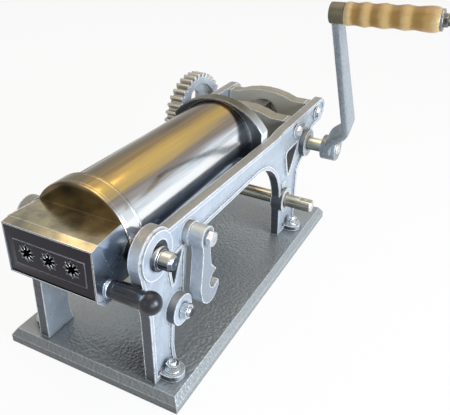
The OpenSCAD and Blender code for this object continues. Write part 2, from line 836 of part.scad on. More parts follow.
module cross_bar_bolts() {
    x0 = frame_x1 + bolt_pad_h;
    color("#c9ccd0") seat() both_sides() for (y = bar_bolt_y) {
        hex_x(m8_hex_r, x0, x0 + m8_head_h, y, bar_bolt_z);
        rod_x(m8_r, frame_x0 - bar_bolt_l + 2 * over, x0 + over, y, bar_bolt_z);
    }
}

// Bronze bushes pressed into both frames round one shaft
module bush_pair(x1, y, z) {
    both_sides() difference() {
        rod_x(shaft_r + bush_wall, frame_x0, x1, y, z);
        rod_x(shaft_r + run_fit, frame_x0 - over, x1 + over, y, z);
    }
}

module drive_bushes() {
    color("#a5824a") seat() bush_pair(frame_x1 + drive_boss_h, drive_y, drive_z);
}

module layshaft_bushes() {
    color("#a5824a") seat() bush_pair(frame_x1 + lay_boss_h, lay_y, lay_z);
}

module barrel() {
    color("#cfd3d6") seat() difference() {
        rod_y(barrel_r, barrel_y0, barrel_y1, 0, axis_z);
        rod_y(bore_r, barrel_y0 - over, barrel_y1 + over, 0, axis_z);
    }
}

// Rear flange: a cast hoop with an arched top that stands on the frames' ledges
module rear_flange() {
    color("#8d9294") seat() difference() {
        slab_y(flange_y0, flange_y1) polygon(flange_outline());
        rod_y(barrel_r, flange_y0 - over, flange_y1 + over, 0, axis_z);
    }
}

// Cap: a collar over the barrel's front end, with pads for the trunnion pins
module nozzle_cap() {
    web_w = nozzle_half_w - sheet_t;
    color("#d3d7da") seat() difference() {
        union() {
            translate([0, cap_y0, axis_z]) rotate([-90, 0, 0]) rotate_extrude() polygon([
                [0, 0], [cap_r - cap_edge, 0], [cap_r, cap_edge],
                [cap_r, cap_l - cap_edge], [cap_r - cap_edge, cap_l], [0, cap_l]
            ]);
            intersection() {
                rod_x(pin_pad_r, -pin_x0, pin_x0, pin_y, axis_z);
                translate([-2 * cap_r, cap_y0, 0]) cube([4 * cap_r, cap_l, 2 * axis_z]);
            }
        }
        rod_y(barrel_r, barrel_y0, cap_y1 + over, 0, axis_z);
        intersection() {
            rod_y(bore_r, cap_y0 - over, cap_y1, 0, axis_z);
            translate([-web_w, cap_y0 - over, axis_z - bore_r])
                cube([2 * web_w, cap_l + over, bore_r + nozzle_roof - 2 * sheet_t]);
        }
    }
}

// Nozzle box body, drawn in by d on every side: a flat-sided front that ends at a slanted
// crease, and a part behind the crease that flares out to the cap's circle
module nozzle_form(d) {
    w = nozzle_half_w - d;
    roof_z = axis_z + nozzle_roof - d;
    front_z = axis_z - nozzle_drop + d;
    fold_y = nozzle_y0 + nozzle_fold;
    low_z = front_z - nozzle_chin;
    crease = [
        [fold_y, roof_z],
        [cap_y0 - crease_back, axis_z - crease_drop],
        [cap_y0 - chin_back, low_z]
    ];
    slab_x(-w, w) polygon(concat(
        [[fold_y, low_z], [nozzle_y0, front_z], [nozzle_y0, roof_z - nozzle_lip_drop]], crease
    ));
    ends_z = [roof_z, crease[1][1], axis_z - cap_r];
    for (i = [0, 1]) hull() {
        slab_x(-w, w) polygon([
            crease[i], crease[i + 1], crease[i + 1] - [slice, 0], crease[i] - [slice, 0]
        ]);
        intersection() {
            rod_y(cap_r - cap_edge - d, cap_y0 - slice, cap_y0, 0, axis_z);
            translate([-cap_r, cap_y0 - 2 * slice, ends_z[i + 1]])
                cube([2 * cap_r, 3 * slice, ends_z[i] - ends_z[i + 1]]);
        }
    }
}

// Nozzle box: bent sheet from the cap's circle to a rectangular mouth, open at both ends
module nozzle_box() {
    w = nozzle_half_w - sheet_t;
    front_z = axis_z - nozzle_drop + sheet_t;
    color("#c5cace") seat() difference() {
        nozzle_form(0);
        nozzle_form(sheet_t);
        translate([-w, nozzle_y0 - over, front_z])
            cube([2 * w, slice + 2 * over, nozzle_roof + nozzle_drop - 2 * sheet_t - nozzle_lip_drop]);
        rod_x(handle_stud_r, w - nozzle_fold, cap_r, handle_y, handle_z);
    }
}

// Die plate: a flat plate in the mouth with a raised panel and three star openings
module die_plate() {
    w = nozzle_half_w - sheet_t - die_fit;
    y0 = nozzle_y0 + die_set_in;
    z0 = axis_z - nozzle_drop + sheet_t + die_fit;
    z1 = axis_z + nozzle_roof - nozzle_lip_drop - sheet_t - die_fit;
    color("#8c9296") seat() difference() {
        union() {
            translate([-w, y0, z0]) cube([2 * w, die_t, z1 - z0]);
            translate([-panel_half_w, y0 - panel_proud, axis_z - panel_down])
                cube([2 * panel_half_w, panel_proud + over, panel_down + panel_up]);
        }
        for (i = [-1:1]) slab_y(y0 - panel_proud - over, y0 + die_t + over)
            translate([i * star_pitch, axis_z]) polygon(star_outline());
    }
}

// Trunnion pin: a flange on the cap's pad and a bearing length that ends at x1
module trunnion_pin(flange_x1, x1) {
    rod_x(pin_pad_r, pin_x0, flange_x1, pin_y, axis_z);
    pin_x(pin_r, pin_x0, x1, pin_y, axis_z, chamfer);
}

// The right pin is long, for the latch, and has a collar outside the frame's eye
module right_trunnion_pin() {
    collar_x = frame_x1 + eye_boss_h + pin_collar_gap;
    color("#8f9496") seat() {
        trunnion_pin(pin_x0 + pin_flange_t, latch_x1);
        rod_x(pin_collar_r, collar_x, latch_x0 + latch_side_gap - side_fit, pin_y, axis_z);
    }
}

// The left pin ends just outside its frame
module left_trunnion_pin() {
    color("#8f9496") seat() mirror([1, 0, 0])
        trunnion_pin(frame_x0 - left_in - side_fit, frame_x1 - left_in + eye_boss_h + chamfer);
}

// Stud that carries the tilt handle, with its head inside the nozzle box
module handle_stud() {
    head_x1 = nozzle_half_w - sheet_t;
    color("#c2c6c9") seat() {
        hex_x(handle_head_r, head_x1 - handle_head_h, head_x1, handle_y, handle_z);
        rod_x(handle_stud_r, head_x1 - over, nozzle_half_w + handle_l / 2, handle_y, handle_z);
    }
}

module handle_washer() {
    x0 = nozzle_half_w + handle_seat;
    color("#d8dade") seat() difference() {
        rod_x(handle_washer_r, x0, x0 + washer_t, handle_y, handle_z);
        rod_x(handle_stud_r, x0 - over, x0 + washer_t + over, handle_y, handle_z);
    }
}

// Tilt handle: a turned knob that swells to a ball, fluted along its neck
module tilt_handle() {
    x0 = nozzle_half_w + handle_seat + washer_t;
    neck = handle_l - handle_ball_r;
    turned = concat(
        [[0, 0], [handle_base_r - chamfer, 0], [handle_base_r, chamfer], [handle_base_r, neck * 0.55]],
        [for (p = arc([neck, 0], handle_ball_r, 130, 0)) [p[1], p[0]]]
    );
    color("#17181c") seat() difference() {
        translate([x0, handle_y, handle_z]) rotate([0, 90, 0]) rotate_extrude() polygon(turned);
        rod_x(handle_stud_r, x0 - over, nozzle_half_w + handle_l / 2, handle_y, handle_z);
        for (i = [0:handle_flutes - 1])
            let (a = 360 * i / handle_flutes, r = handle_base_r + handle_flute_r / 2)
            rod_x(handle_flute_r, x0 + handle_base_r / 2, x0 + neck * 0.6,
                handle_y + r * cos(a), handle_z + r * sin(a));
    }
}

module latch_bolt() {
    x0 = latch_x1 + side_fit;
    color("#b9bdc0") seat() {
        hex_x(latch_head_r, x0, x0 + latch_head_h, latch_y, latch_z);
        rod_x(latch_bolt_r, frame_x0, x0 + over, latch_y, latch_z);
    }
}

// Latch hook, hanging: a boss on the pivot, a flat shank and a jaw open to the rear
module latch_hook() {
    at = [latch_y, latch_z];
    jaw = latch_hang - 90;
    body = [for (s = hook_shares)
        [latch_y + s[0] * latch_reach, latch_z + s[1] * latch_reach, s[2] * latch_boss_r]];
    gap = pin_r + notch_fit;
    color("#b4bfc8") seat() difference() {
        union() {
            slab_x(latch_x0 + latch_side_gap, latch_x1) polygon(rounded(body));
            rod_x(latch_boss_r, latch_x0, latch_x1, latch_y, latch_z);
        }
        rod_x(gap, latch_x0, latch_x1 + over, latch_y + latch_reach * cos(jaw),
            latch_z + latch_reach * sin(jaw));
        slab_x(latch_x0, latch_x1 + over) polygon(concat(
            arc(at, latch_reach + gap, jaw, jaw + notch_sweep),
            arc(at, latch_reach - gap, jaw + notch_sweep, jaw)
        ));
        rod_x(latch_bolt_r + run_fit, latch_x0 - over, latch_x1 + over, latch_y, latch_z);
    }
}

// Rack: a square bar with teeth below and a round stub in front that carries the piston
module rack() {
    color("#9a9c9b") seat() {
        slab_x(-rack_w / 2, rack_w / 2)
            polygon(rack_outline(rack_y0, rack_y0 + rack_plain, rack_y1, drive_y));
        rod_y(stub_r, nut_y0 + chamfer, rack_y0 + over, 0, stub_z);
    }
}

module piston_disc() {
    groove_y = piston_y0 + (piston_t - seal_w) / 2;
    color("#c5c9cc") seat() difference() {
        rod_y(bore_r - piston_fit, piston_y0, piston_y1, 0, axis_z);
        rod_y(stub_r, piston_y0 - over, piston_y1 + over, 0, stub_z);
        difference() {
            rod_y(bore_r, groove_y, groove_y + seal_w, 0, axis_z);
            rod_y(bore_r - seal_d, groove_y - over, groove_y + seal_w + over, 0, axis_z);
        }
    }
}

module piston_seal() {
    groove_y = piston_y0 + (piston_t - seal_w) / 2;
    color("#e6e2d6") seat() difference() {
        rod_y(bore_r - seal_fit, groove_y, groove_y + seal_w, 0, axis_z);
        rod_y(bore_r - seal_d, groove_y - over, groove_y + seal_w + over, 0, axis_z);
    }
}

module piston_washer() {
    color("#b9bdc0") seat() difference() {
        rod_y(piston_washer_r, piston_y1, rack_y0, 0, stub_z);
        rod_y(stub_r, piston_y1 - over, rack_y0 + over, 0, stub_z);
    }
}

module piston_nut() {
    color("#c9ccd0") seat() difference() {
        translate([0, piston_y0, stub_z]) rotate([90, 0, 0])
            cylinder(r = piston_nut_r, h = piston_nut_h, $fn = 6);
        rod_y(stub_r, nut_y0 - over, piston_y0 + over, 0, stub_z);
    }
}

// A key lying in the top of a shaft, from x0 for its own length, grown by fit
module key_x(x0, l, y, z, fit) {
    translate([x0 - fit, y - key_w / 2 - fit, z + shaft_r - key_in - fit])
        cube([l + 2 * fit, key_w + 2 * fit, 2 * key_in + 2 * fit]);
}

// A shaft from the gear to x1, turned down to a seat for the crank beyond x_seat
module shaft(x_seat, x1, y, z) {
    x0 = gear_x0 - gear_hub_out - 2 * chamfer;
    translate([x0, y, z]) rotate([0, 90, 0]) rotate_extrude() polygon([
        [0, 0], [shaft_r - shaft_chamfer, 0], [shaft_r, shaft_chamfer], [shaft_r, x_seat - x0],
        [seat_r, x_seat - x0], [seat_r, x1 - x0 - shaft_chamfer],
        [seat_r - shaft_chamfer, x1 - x0], [0, x1 - x0]
    ]);
}

module drive_shaft() {
    color("#a8a9a4") seat() difference() {
        shaft(hub_x0, hub_x1, drive_y, drive_z);
        for (x = [gear_key_x, -key_l / 2, crank_key_x]) key_x(x, key_l, drive_y, drive_z, 0);
    }
}

module drive_keys() {
    color("#7d7f80") seat() for (x = [gear_key_x, -key_l / 2, crank_key_x])
        key_x(x, key_l, drive_y, drive_z, 0);
}

module rack_pinion() {
    color("#8f9192") seat() difference() {
        translate([0, drive_y, drive_z]) slab_x(-pinion_w / 2, pinion_w / 2)
            rotate(90 + 180 / rack_pinion_teeth) polygon(gear_outline(rack_pinion_teeth));
        rod_x(shaft_r, -pinion_w, pinion_w, drive_y, drive_z);
        key_x(-key_l / 2, key_l, drive_y, drive_z, 0);
    }
}

// Main gear: toothed rim, thin web with round holes, and a hub on the drive shaft
module main_gear() {
    web_r = gear_r - dedendum - gear_rim;
    color("#b2b9be") seat() translate([0, drive_y, drive_z]) difference() {
        union() {
            slab_x(gear_x0, gear_x1) rotate(180 + lay_slope) polygon(gear_outline(gear_teeth));
            rod_x(gear_hub_r - 3 * chamfer, gear_x0 - gear_hub_out,
                left_in - frame_x1 - drive_boss_h - side_fit, 0, 0);
        }
        for (x = [gear_x0 - over, gear_x1 - gear_web_d]) difference() {
            rod_x(web_r, x, x + gear_web_d + over, 0, 0);
            rod_x(gear_hub_r, x - over, x + gear_web_d + 2 * over, 0, 0);
        }
        for (i = [0:gear_holes - 1]) let (a = lay_slope + gear_hole_turn + 360 * i / gear_holes)
            rod_x(gear_hole_r, gear_x0 - over, gear_x1 + over,
                gear_hole_at_r * cos(a), gear_hole_at_r * sin(a));
        rod_x(shaft_r, gear_x0 - 4 * over, left_in - frame_x1, 0, 0);
        key_x(gear_key_x, key_l, 0, 0, 0);
    }
}

// A collar round one shaft, just inside the left frame, with a hole for its set screw
module collar(y, z) {
    x0 = left_in - frame_x0 + collar_gap;
    difference() {
        rod_x(collar_r, x0, x0 + collar_w, y, z);
        rod_x(shaft_r, x0 - over, x0 + collar_w + over, y, z);
        translate([x0 + collar_w / 2, y, z]) cylinder(r = set_screw_r, h = collar_r + over);
    }
}

module collar_screw(y, z) {
    x = left_in - frame_x0 + collar_gap + collar_w / 2;
    translate([x, y, z + shaft_r]) cylinder(r = set_screw_r, h = collar_r - shaft_r - chamfer / 2);
}

module drive_collar() {
    color("#8f9192") seat() collar(drive_y, drive_z);
}

module drive_collar_screw() {
    color("#4c4e50") seat() collar_screw(drive_y, drive_z);
}

// Layshaft: its right end has a flat with a dimple for the crank's set screw
module layshaft() {
    end_x = frame_x1 + lay_boss_h + lay_end_past;
    color("#a8a9a4") seat() difference() {
        shaft(frame_x1 + lay_boss_h + lay_shoulder, end_x, lay_y, lay_z);
        translate([end_x - lay_flat_l, lay_y - shaft_r, lay_z + shaft_r - lay_flat_d])
            cube([lay_flat_l + over, 2 * shaft_r, shaft_r]);
        translate([end_x - lay_flat_l / 2, lay_y, lay_z + shaft_r - lay_flat_d - lay_dimple_r])
            cylinder(r = lay_dimple_r, h = shaft_r);
        key_x(gear_key_x, key_l, lay_y, lay_z, 0);
    }
}

module lay_pinion() {
    color("#9ea3a6") seat() difference() {
        union() {
            translate([0, lay_y, lay_z]) slab_x(gear_x0 - chamfer, gear_x1 + chamfer)
                rotate(lay_slope + 180 / lay_teeth) polygon(gear_outline(lay_teeth));
            rod_x(lay_boss_r - 2 * chamfer, gear_x1, left_in - frame_x1 - lay_boss_h - side_fit,
                lay_y, lay_z);
        }
        rod_x(shaft_r, gear_x0 - 4 * over, left_in - frame_x1, lay_y, lay_z);
        key_x(gear_key_x, key_l, lay_y, lay_z, 0);
    }
}

module lay_key() {
    color("#7d7f80") seat() key_x(gear_key_x, key_l, lay_y, lay_z, 0);
}

module lay_collar() {
    color("#8f9192") seat() collar(lay_y, lay_z);
}

module lay_collar_screw() {
    color("#4c4e50") seat() collar_screw(lay_y, lay_z);
}

// Turns what stands upright on the drive axis to the crank's lean
module along_arm() {
    translate([0, drive_y, drive_z]) rotate([crank_lean, 0, 0]) children();
}

// Moves what lies along X round the origin to the spindle's axis at the arm's top
module along_spindle() {
    translate([0, drive_y - crank_r * sin(crank_lean), drive_z + crank_r * cos(crank_lean)])
        translate([top_boss_x0, 0, 0]) rotate([0, -grip_cant, 0]) translate([-top_boss_x0, 0, 0])
        children();
}

// Middle of the arm's thickness at a distance s from the shaft, and its slope there
function arm_share(s) = min(1, max(0, (s - arm_bend_from) / (arm_bend_to - arm_bend_from)));
function arm_x(s) = arm_x_low + arm_step * (1 - cos(180 * arm_share(s))) / 2
    - arm_settle * max(0, s - arm_bend_to) / (crank_r - arm_bend_to);
function arm_slope(s) = arm_step * sin(180 * arm_share(s)) * PI / 2 / (arm_bend_to - arm_bend_from);
function arm_side(side, s) =
    [arm_x(s) + side * arm_t / 2 * sqrt(1 + arm_slope(s) * arm_slope(s)), s];

// Crank arm: hub, cranked flat arm and top boss in one casting
module crank_arm() {
    bends = 10;
    stations = concat([0], [for (i = [0:bends])
        arm_bend_from + (arm_bend_to - arm_bend_from) * i / bends], [crank_r]);
    last = len(stations) - 1;
    color("#8b9092") seat() difference() {
        union() {
            along_arm() intersection() {
                slab_y(-arm_foot_half_w, arm_foot_half_w) polygon(concat(
                    [for (i = [0:last]) arm_side(-1, stations[i])],
                    [for (i = [0:last]) arm_side(1, stations[last - i])]
                ));
                slab_x(hub_x0, arm_x_high + arm_t) polygon([
                    [-arm_foot_half_w, 0], [-arm_foot_half_w, hub_r], [-arm_top_half_w, crank_r],
                    [arm_top_half_w, crank_r], [arm_foot_half_w, hub_r], [arm_foot_half_w, 0]
                ]);
            }
            rod_x(hub_r, hub_x0, hub_x1, drive_y, drive_z);
            along_spindle() rod_x(top_boss_r, top_boss_x0, top_boss_x1, 0, 0);
        }
        rod_x(seat_r, hub_x0 - over, hub_x1 + arm_step, drive_y, drive_z);
        key_x(crank_key_x, key_l + over, drive_y, drive_z, 0);
        along_spindle() rod_x(spindle_r, top_boss_x0 - 2 * over, top_boss_x1 + 2 * over, 0, 0);
    }
}

module grip_spindle() {
    color("#b9bdc0") seat() along_spindle() pin_x(spindle_r,
        top_boss_x0 + spindle_sunk,
        grip_x1 + side_fit + grip_washer_t + dome_h / 2, 0, 0, chamfer);
}

// Wooden grip: turned, with a bead at the arm and finger hollows along it
grip_shares = [
    [0, 0.72], [0, 0.88], [0.02, 0.93], [0.05, 0.95], [0.085, 0.90], [0.125, 0.87], [0.17, 0.93],
    [0.215, 1], [0.26, 0.93], [0.30, 0.87], [0.36, 0.93], [0.42, 1], [0.475, 0.93], [0.53, 0.87],
    [0.59, 0.93], [0.645, 1], [0.695, 0.94], [0.745, 0.88], [0.82, 0.95], [0.90, 1], [0.95, 0.98],
    [0.98, 0.93], [1, 0.80]
];

module wooden_grip() {
    bore = spindle_r + run_fit;
    color("#c79f5c") seat() along_spindle() translate([grip_x0, 0, 0]) rotate([0, 90, 0])
        rotate_extrude() polygon(concat(
            [[bore, 0]],
            [for (s = grip_shares) [s[1] * grip_r, s[0] * grip_l]],
            [[bore, grip_l]]
        ));
}

module grip_washer() {
    x0 = grip_x1 + side_fit;
    color("#b9bdc0") seat() along_spindle() difference() {
        rod_x(grip_washer_r, x0, x0 + grip_washer_t, 0, 0);
        rod_x(spindle_r, x0 - over, x0 + grip_washer_t + over, 0, 0);
    }
}

// Dome nut: a hexagon with a rounded cap that covers the spindle's end
module grip_dome_nut() {
    x0 = grip_x1 + side_fit + grip_washer_t;
    color("#8a7f70") seat() along_spindle() difference() {
        union() {
            hex_x(dome_r, x0, x0 + dome_h / 2, 0, 0);
            translate([x0 + dome_h / 2, 0, 0]) rotate([0, 90, 0]) rotate_extrude()
                polygon(concat([[0, 0]], [for (a = [0:10:90])
                    [(dome_r - chamfer) * cos(a), dome_h / 2 * sin(a)]]));
        }
        rod_x(spindle_r, x0 - over, x0 + dome_h / 2, 0, 0);
    }
}

base_board();
right_side_frame();
left_side_frame();
foot_bolts();
foot_washers();
foot_nuts();
front_tie_rod();
tie_rod_nuts();
front_cross_bar();
rear_cross_bar();
cross_bar_bolts();
drive_bushes();
layshaft_bushes();
barrel();
rear_flange();
nozzle_cap();
nozzle_box();
die_plate();
right_trunnion_pin();
left_trunnion_pin();
handle_stud();
handle_washer();
tilt_handle();
latch_bolt();
latch_hook();
rack();
piston_disc();
piston_seal();
piston_washer();
piston_nut();
drive_shaft();
rack_pinion();
main_gear();
drive_keys();
drive_collar();
drive_collar_screw();
layshaft();
lay_pinion();
lay_key();
lay_collar();
lay_collar_screw();
crank_arm();
grip_spindle();
wooden_grip();
grip_washer();
grip_dome_nut();
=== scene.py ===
"""A two-speed, hand-cranked churro press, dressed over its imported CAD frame.

Each sub-assembly is a class with its sizes in millimetres. X runs to the crank, Y to the rear and
Z up, with the origin under the middle of the base board. Y sizes are told from the board's front
edge.
"""

import json
import logging
import math
from dataclasses import dataclass
from enum import Enum
from typing import Callable, Optional

import bmesh
import bpy
import numpy as np
from mathutils import Matrix, Vector


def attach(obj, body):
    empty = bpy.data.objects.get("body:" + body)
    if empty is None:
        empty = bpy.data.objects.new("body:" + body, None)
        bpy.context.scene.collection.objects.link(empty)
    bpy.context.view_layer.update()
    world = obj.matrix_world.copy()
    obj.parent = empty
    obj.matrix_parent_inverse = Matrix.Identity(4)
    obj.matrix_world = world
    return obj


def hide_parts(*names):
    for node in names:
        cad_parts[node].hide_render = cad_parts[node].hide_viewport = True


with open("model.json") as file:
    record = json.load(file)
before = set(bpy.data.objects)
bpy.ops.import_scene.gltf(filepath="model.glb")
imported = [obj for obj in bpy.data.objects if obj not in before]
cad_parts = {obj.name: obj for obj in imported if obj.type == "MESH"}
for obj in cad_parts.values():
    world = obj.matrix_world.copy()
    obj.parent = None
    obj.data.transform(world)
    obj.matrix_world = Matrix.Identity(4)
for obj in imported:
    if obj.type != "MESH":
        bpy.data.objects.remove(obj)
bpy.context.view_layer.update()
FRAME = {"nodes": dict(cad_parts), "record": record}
LOG = logging.getLogger("churro_press")

Tree = bpy.types.NodeTree
Socket = bpy.types.NodeSocket
Mesh = bpy.types.Mesh
Points = np.ndarray

MM = 0.001
BOARD_MID = 218.9935
FULL_TURN = 2 * math.pi
WHITE = "#FFFFFF"
# Old oil and painted shade in inner corners.
CORNER_OIL_AND_SHADE = "#3C3B38"

# Points nearer than this, in metres, are one.
MERGE_WITHIN = 2e-6
# Degrees past which an edge stays sharp on a turned piece and on a CAD copy, from which a bevel
# rounds it, and within which two facets lie on one flat.
SHARP_FROM, CAD_SHARP_FROM, BEVEL_FROM, FLAT_WITHIN = 38.0, 32.0, 40.0, 0.4
# A hexagon's chamfer starts at this share of its apothem, a thread is this share of its pitch deep.
CHAMFER_AT, THREAD_DEEP = 0.97, 0.32

# What each noise, normal or openness is read between, for a share from 0 to 1.
PATCH_NOISE = (0.38, 0.64)
SMEAR_NOISE = (0.3, 0.7)
STREAK_NOISE = (0.25, 0.75)
CHIP_MM, CHIP_NOISE = 3.5, (0.3, 0.5)
EDGE_DOT = (0.996, 0.94)
LOOKS_UP = (0.35, 0.95)
OPENNESS = (0.9, 0.45)

# A painted front shade with an upper end fades in over this height, and no finish is smoother than
# this.
FRONT_FADE_MM = 14.0
LEAST_ROUGH = 0.03


class Body(Enum):
    """The moving bodies of the frame that a piece can ride on."""

    PRESS = "press_frame"
    DRIVE = "drive"
    SLOW = "slow_shaft"
    RAM = "ram"
    GRIP = "grip"
    LATCH = "latch"


class Axis(Enum):
    """The way an axis runs, as its own direction and the two directions across it."""

    RIGHT = ((1, 0, 0), (0, 1, 0), (0, 0, 1))
    LEFT = ((-1, 0, 0), (0, 1, 0), (0, 0, 1))
    REAR = ((0, 1, 0), (0, 0, 1), (1, 0, 0))
    UP = ((0, 0, 1), (1, 0, 0), (0, 1, 0))


def place(x: float, y: float, z: float) -> Points:
    """A point given in millimetres from the board's front edge, in the frame's own Y."""
    return np.array([x, y - BOARD_MID, z], dtype=float)


def linear(colour: str) -> tuple[float, float, float, float]:
    """Turns an sRGB hex colour into linear light, as (c / 12.92) or ((c + 0.055) / 1.055) ^ 2.4.

    Args:
        colour: six hex digits after a hash.

    Returns:
        Linear red, green and blue, with full opacity.
    """
    parts = [int(colour[i : i + 2], 16) / 255 for i in (1, 3, 5)]
    r, g, b = (c / 12.92 if c <= 0.04045 else ((c + 0.055) / 1.055) ** 2.4 for c in parts)
    return (r, g, b, 1.0)


def add(tree: Tree, kind: str, inputs: Optional[dict] = None, out: int | str = 0,
        **settings: object) -> Socket:
    """Adds one shader node with its settings, and fills or links its inputs.

    Args:
        tree: the tree it goes into.
        kind: the node's Blender type after "ShaderNode".
        inputs: a socket's name or number, and its value or the socket that feeds it.
        out: the output to give back.
        settings: attributes to set; `stops` fills a colour ramp with (place, colour) pairs.

    Returns:
        The output.
    """
    node = tree.nodes.new("ShaderNode" + kind)
    for stop, (at, colour) in enumerate(settings.pop("stops", ())):
        if stop >= len(node.color_ramp.elements):
            node.color_ramp.elements.new(at)
        node.color_ramp.elements[stop].position = at
        node.color_ramp.elements[stop].color = linear(colour)
    for key, value in settings.items():
        setattr(node, key, value)
    for key, value in (inputs or {}).items():
        if isinstance(value, Socket):
            tree.links.new(value, node.inputs[key])
        else:
            node.inputs[key].default_value = value
    return node.outputs[out]


def span(low: float, high: float, first: float = 0.0, last: float = 1.0) -> dict[str, float]:
    """The two ends that a value is read between, and what they are turned into."""
    return {"From Min": low, "From Max": high, "To Min": first, "To Max": last}


def per_mm(size: float) -> float:
    """The texture scale at which one feature is this many millimetres wide."""
    return 1 / (size * MM)


@dataclass(frozen=True)
class Finish:
    """A surface's real finish with painted light and shade laid into its colour, and the material
    slot of the record that it belongs to.

    Colours are sRGB hex. `patch` shows in soft areas `patch_mm` wide, `wear_and_edge_light` along
    the edges, as wear where hands and tools rub and as a painted highlight, and
    `dust_and_top_light` on faces that look up, as dust and sugar and as painted light and shade
    from above. `front`,
    `right`, `left` and `under`, where given, are painted light and shade on the faces that look
    that way, the front's only below `front_below` where that is given. `oil_and_corner_shade` is
    how much old oil and painted shade lie in inner corners.
    """

    name: str
    slot: str
    colour: str
    patch: str
    # The edge colour is wear where hands and tools rub and also a painted highlight on every sharp
    # edge.
    wear_and_edge_light: str
    # The colour on upward faces is dust and also painted light and shade from above.
    dust_and_top_light: str
    metallic: float = 1.0
    rough: float = 0.35
    rough_spread: float = 0.12
    patch_mm: float = 18.0
    grain_mm: float = 0.8
    grain_deep: float = 0.03
    lumps_mm: float = 7.0
    lumps_deep: float = 0.05
    edge_mm: float = 1.6
    edge_wear_and_light: float = 0.7
    dust_and_top_light_share: float = 0.5
    coat: float = 0.0
    shine: float = 0.5
    chipped: bool = True
    # Old oil and painted shade darken inner corners by this share.
    oil_and_corner_shade: float = 0.0
    oil_and_corner_shade_mm: float = 4.0
    # The front, right, left and under tints are painted light and shade on faces that look that
    # way.
    front: str = ""
    front_below: float = 0.0
    right: str = ""
    left: str = ""
    under: str = ""
    grazing: str = WHITE

    def base_colour(self, tree: Tree, at: Socket) -> Socket:
        """Goes from colour to patch as soft noise passes through PATCH_NOISE.

        Args:
            tree: the material's tree.
            at: the coordinates.

        Returns:
            The colour.
        """
        cloud = add(tree, "TexNoise", {"Vector": at, "Scale": per_mm(self.patch_mm),
                                       "Detail": 4.0, "Roughness": 0.6})
        return add(tree, "ValToRGB", {0: cloud},
                   stops=list(zip(PATCH_NOISE, (self.colour, self.patch))))

    def height(self, tree: Tree, at: Socket) -> Socket:
        """Bump of two noises, broad lumps under fine grain, each with its depth in millimetres.

        Args:
            tree: the material's tree.
            at: the coordinates.

        Returns:
            The bumped normal.
        """
        below: dict = {}
        for size, deep in ((self.lumps_mm, self.lumps_deep), (self.grain_mm, self.grain_deep)):
            wave = add(tree, "TexNoise", {"Vector": at, "Scale": per_mm(size), "Detail": 3.0})
            below = {"Normal": add(tree, "Bump", {
                "Strength": 1.0, "Distance": deep * MM, "Height": wave, **below})}
        return below["Normal"]

    def edges(self, tree: Tree, at: Socket) -> Socket:
        """How near a sharp edge a point is, for its wear and painted highlight: 1 - (flat normal .
        rounded normal), chipped by noise.

        Args:
            tree: the material's tree.
            at: the coordinates.

        Returns:
            A share from 0 on a flat to `edge_wear_and_light` on an edge.
        """
        rounded = add(tree, "Bevel", {"Radius": self.edge_mm * MM}, samples=6)
        flat = add(tree, "NewGeometry", out="Normal")
        dot = add(tree, "VectorMath", {0: rounded, 1: flat}, "Value", operation="DOT_PRODUCT")
        sharp = add(tree, "MapRange", {"Value": dot, **span(*EDGE_DOT, 0.0, self.edge_wear_and_light)})
        if not self.chipped:
            return sharp
        chips = add(tree, "TexNoise", {"Vector": at, "Scale": per_mm(CHIP_MM), "Detail": 5.0,
                                       "Roughness": 0.7})
        broken = add(tree, "MapRange", {"Value": chips, **span(*CHIP_NOISE)})
        return add(tree, "Math", {0: sharp, 1: broken}, operation="MULTIPLY")

    def upward(self, tree: Tree) -> Socket:
        """How far a face looks up, for its dust and painted top light: its normal's Z within
        LOOKS_UP, times the dust_and_top_light_share.
        """
        z = add(tree, "SeparateXYZ", {0: add(tree, "NewGeometry", out="Normal")}, "Z")
        return add(tree, "MapRange", {"Value": z, **span(*LOOKS_UP, 0.0, self.dust_and_top_light_share)})

    def corners(self, tree: Tree) -> Socket:
        """How deep a point lies in an inner corner, where old oil gathers and shade is painted: 1 -
        openness.
        """
        free = add(tree, "AmbientOcclusion", {"Distance": self.oil_and_corner_shade_mm * MM}, "AO", samples=6)
        return add(tree, "MapRange", {"Value": free, **span(*OPENNESS, 0.0, self.oil_and_corner_shade)})

    def facets(self, tree: Tree, at: Socket) -> list[tuple[Socket, str]]:
        """Painted light and shade for faces that look one way: share = the normal's part, read from
        low to high.

        Args:
            tree: the material's tree.
            at: the coordinates.

        Returns:
            Each tint's share and its colour.
        """
        normal = add(tree, "TexCoord", out="Normal")
        parts = add(tree, "SeparateXYZ", {0: normal}).node.outputs
        coats = []
        for part, low, high, tint, below in (
            ("Y", -0.45, -0.8, self.front, self.front_below), ("X", 0.4, 0.75, self.right, 0),
            ("X", -0.4, -0.75, self.left, 0), ("Z", -0.25, -0.7, self.under, 0),
        ):
            if not tint:
                continue
            share = add(tree, "MapRange", {"Value": parts[part], **span(low, high)})
            if below:
                z = add(tree, "SeparateXYZ", {0: at}, "Z")
                low_down = add(tree, "MapRange", {
                    "Value": z, **span(below * MM, (below - FRONT_FADE_MM) * MM)})
                share = add(tree, "Math", {0: share, 1: low_down}, operation="MULTIPLY")
            coats.append((share, tint))
        return coats

    def roughness(self, tree: Tree, at: Socket) -> Socket:
        """Roughness that drifts by noise, from rough - spread / 2 to rough + spread / 2.

        Args:
            tree: the material's tree.
            at: the coordinates.

        Returns:
            The roughness.
        """
        smear = add(tree, "TexNoise", {"Vector": at, "Scale": per_mm(self.patch_mm / 2),
                                       "Detail": 4.0})
        half = self.rough_spread / 2
        return add(tree, "MapRange", {"Value": smear, **span(
            *SMEAR_NOISE, max(LEAST_ROUGH, self.rough - half), self.rough + half)})

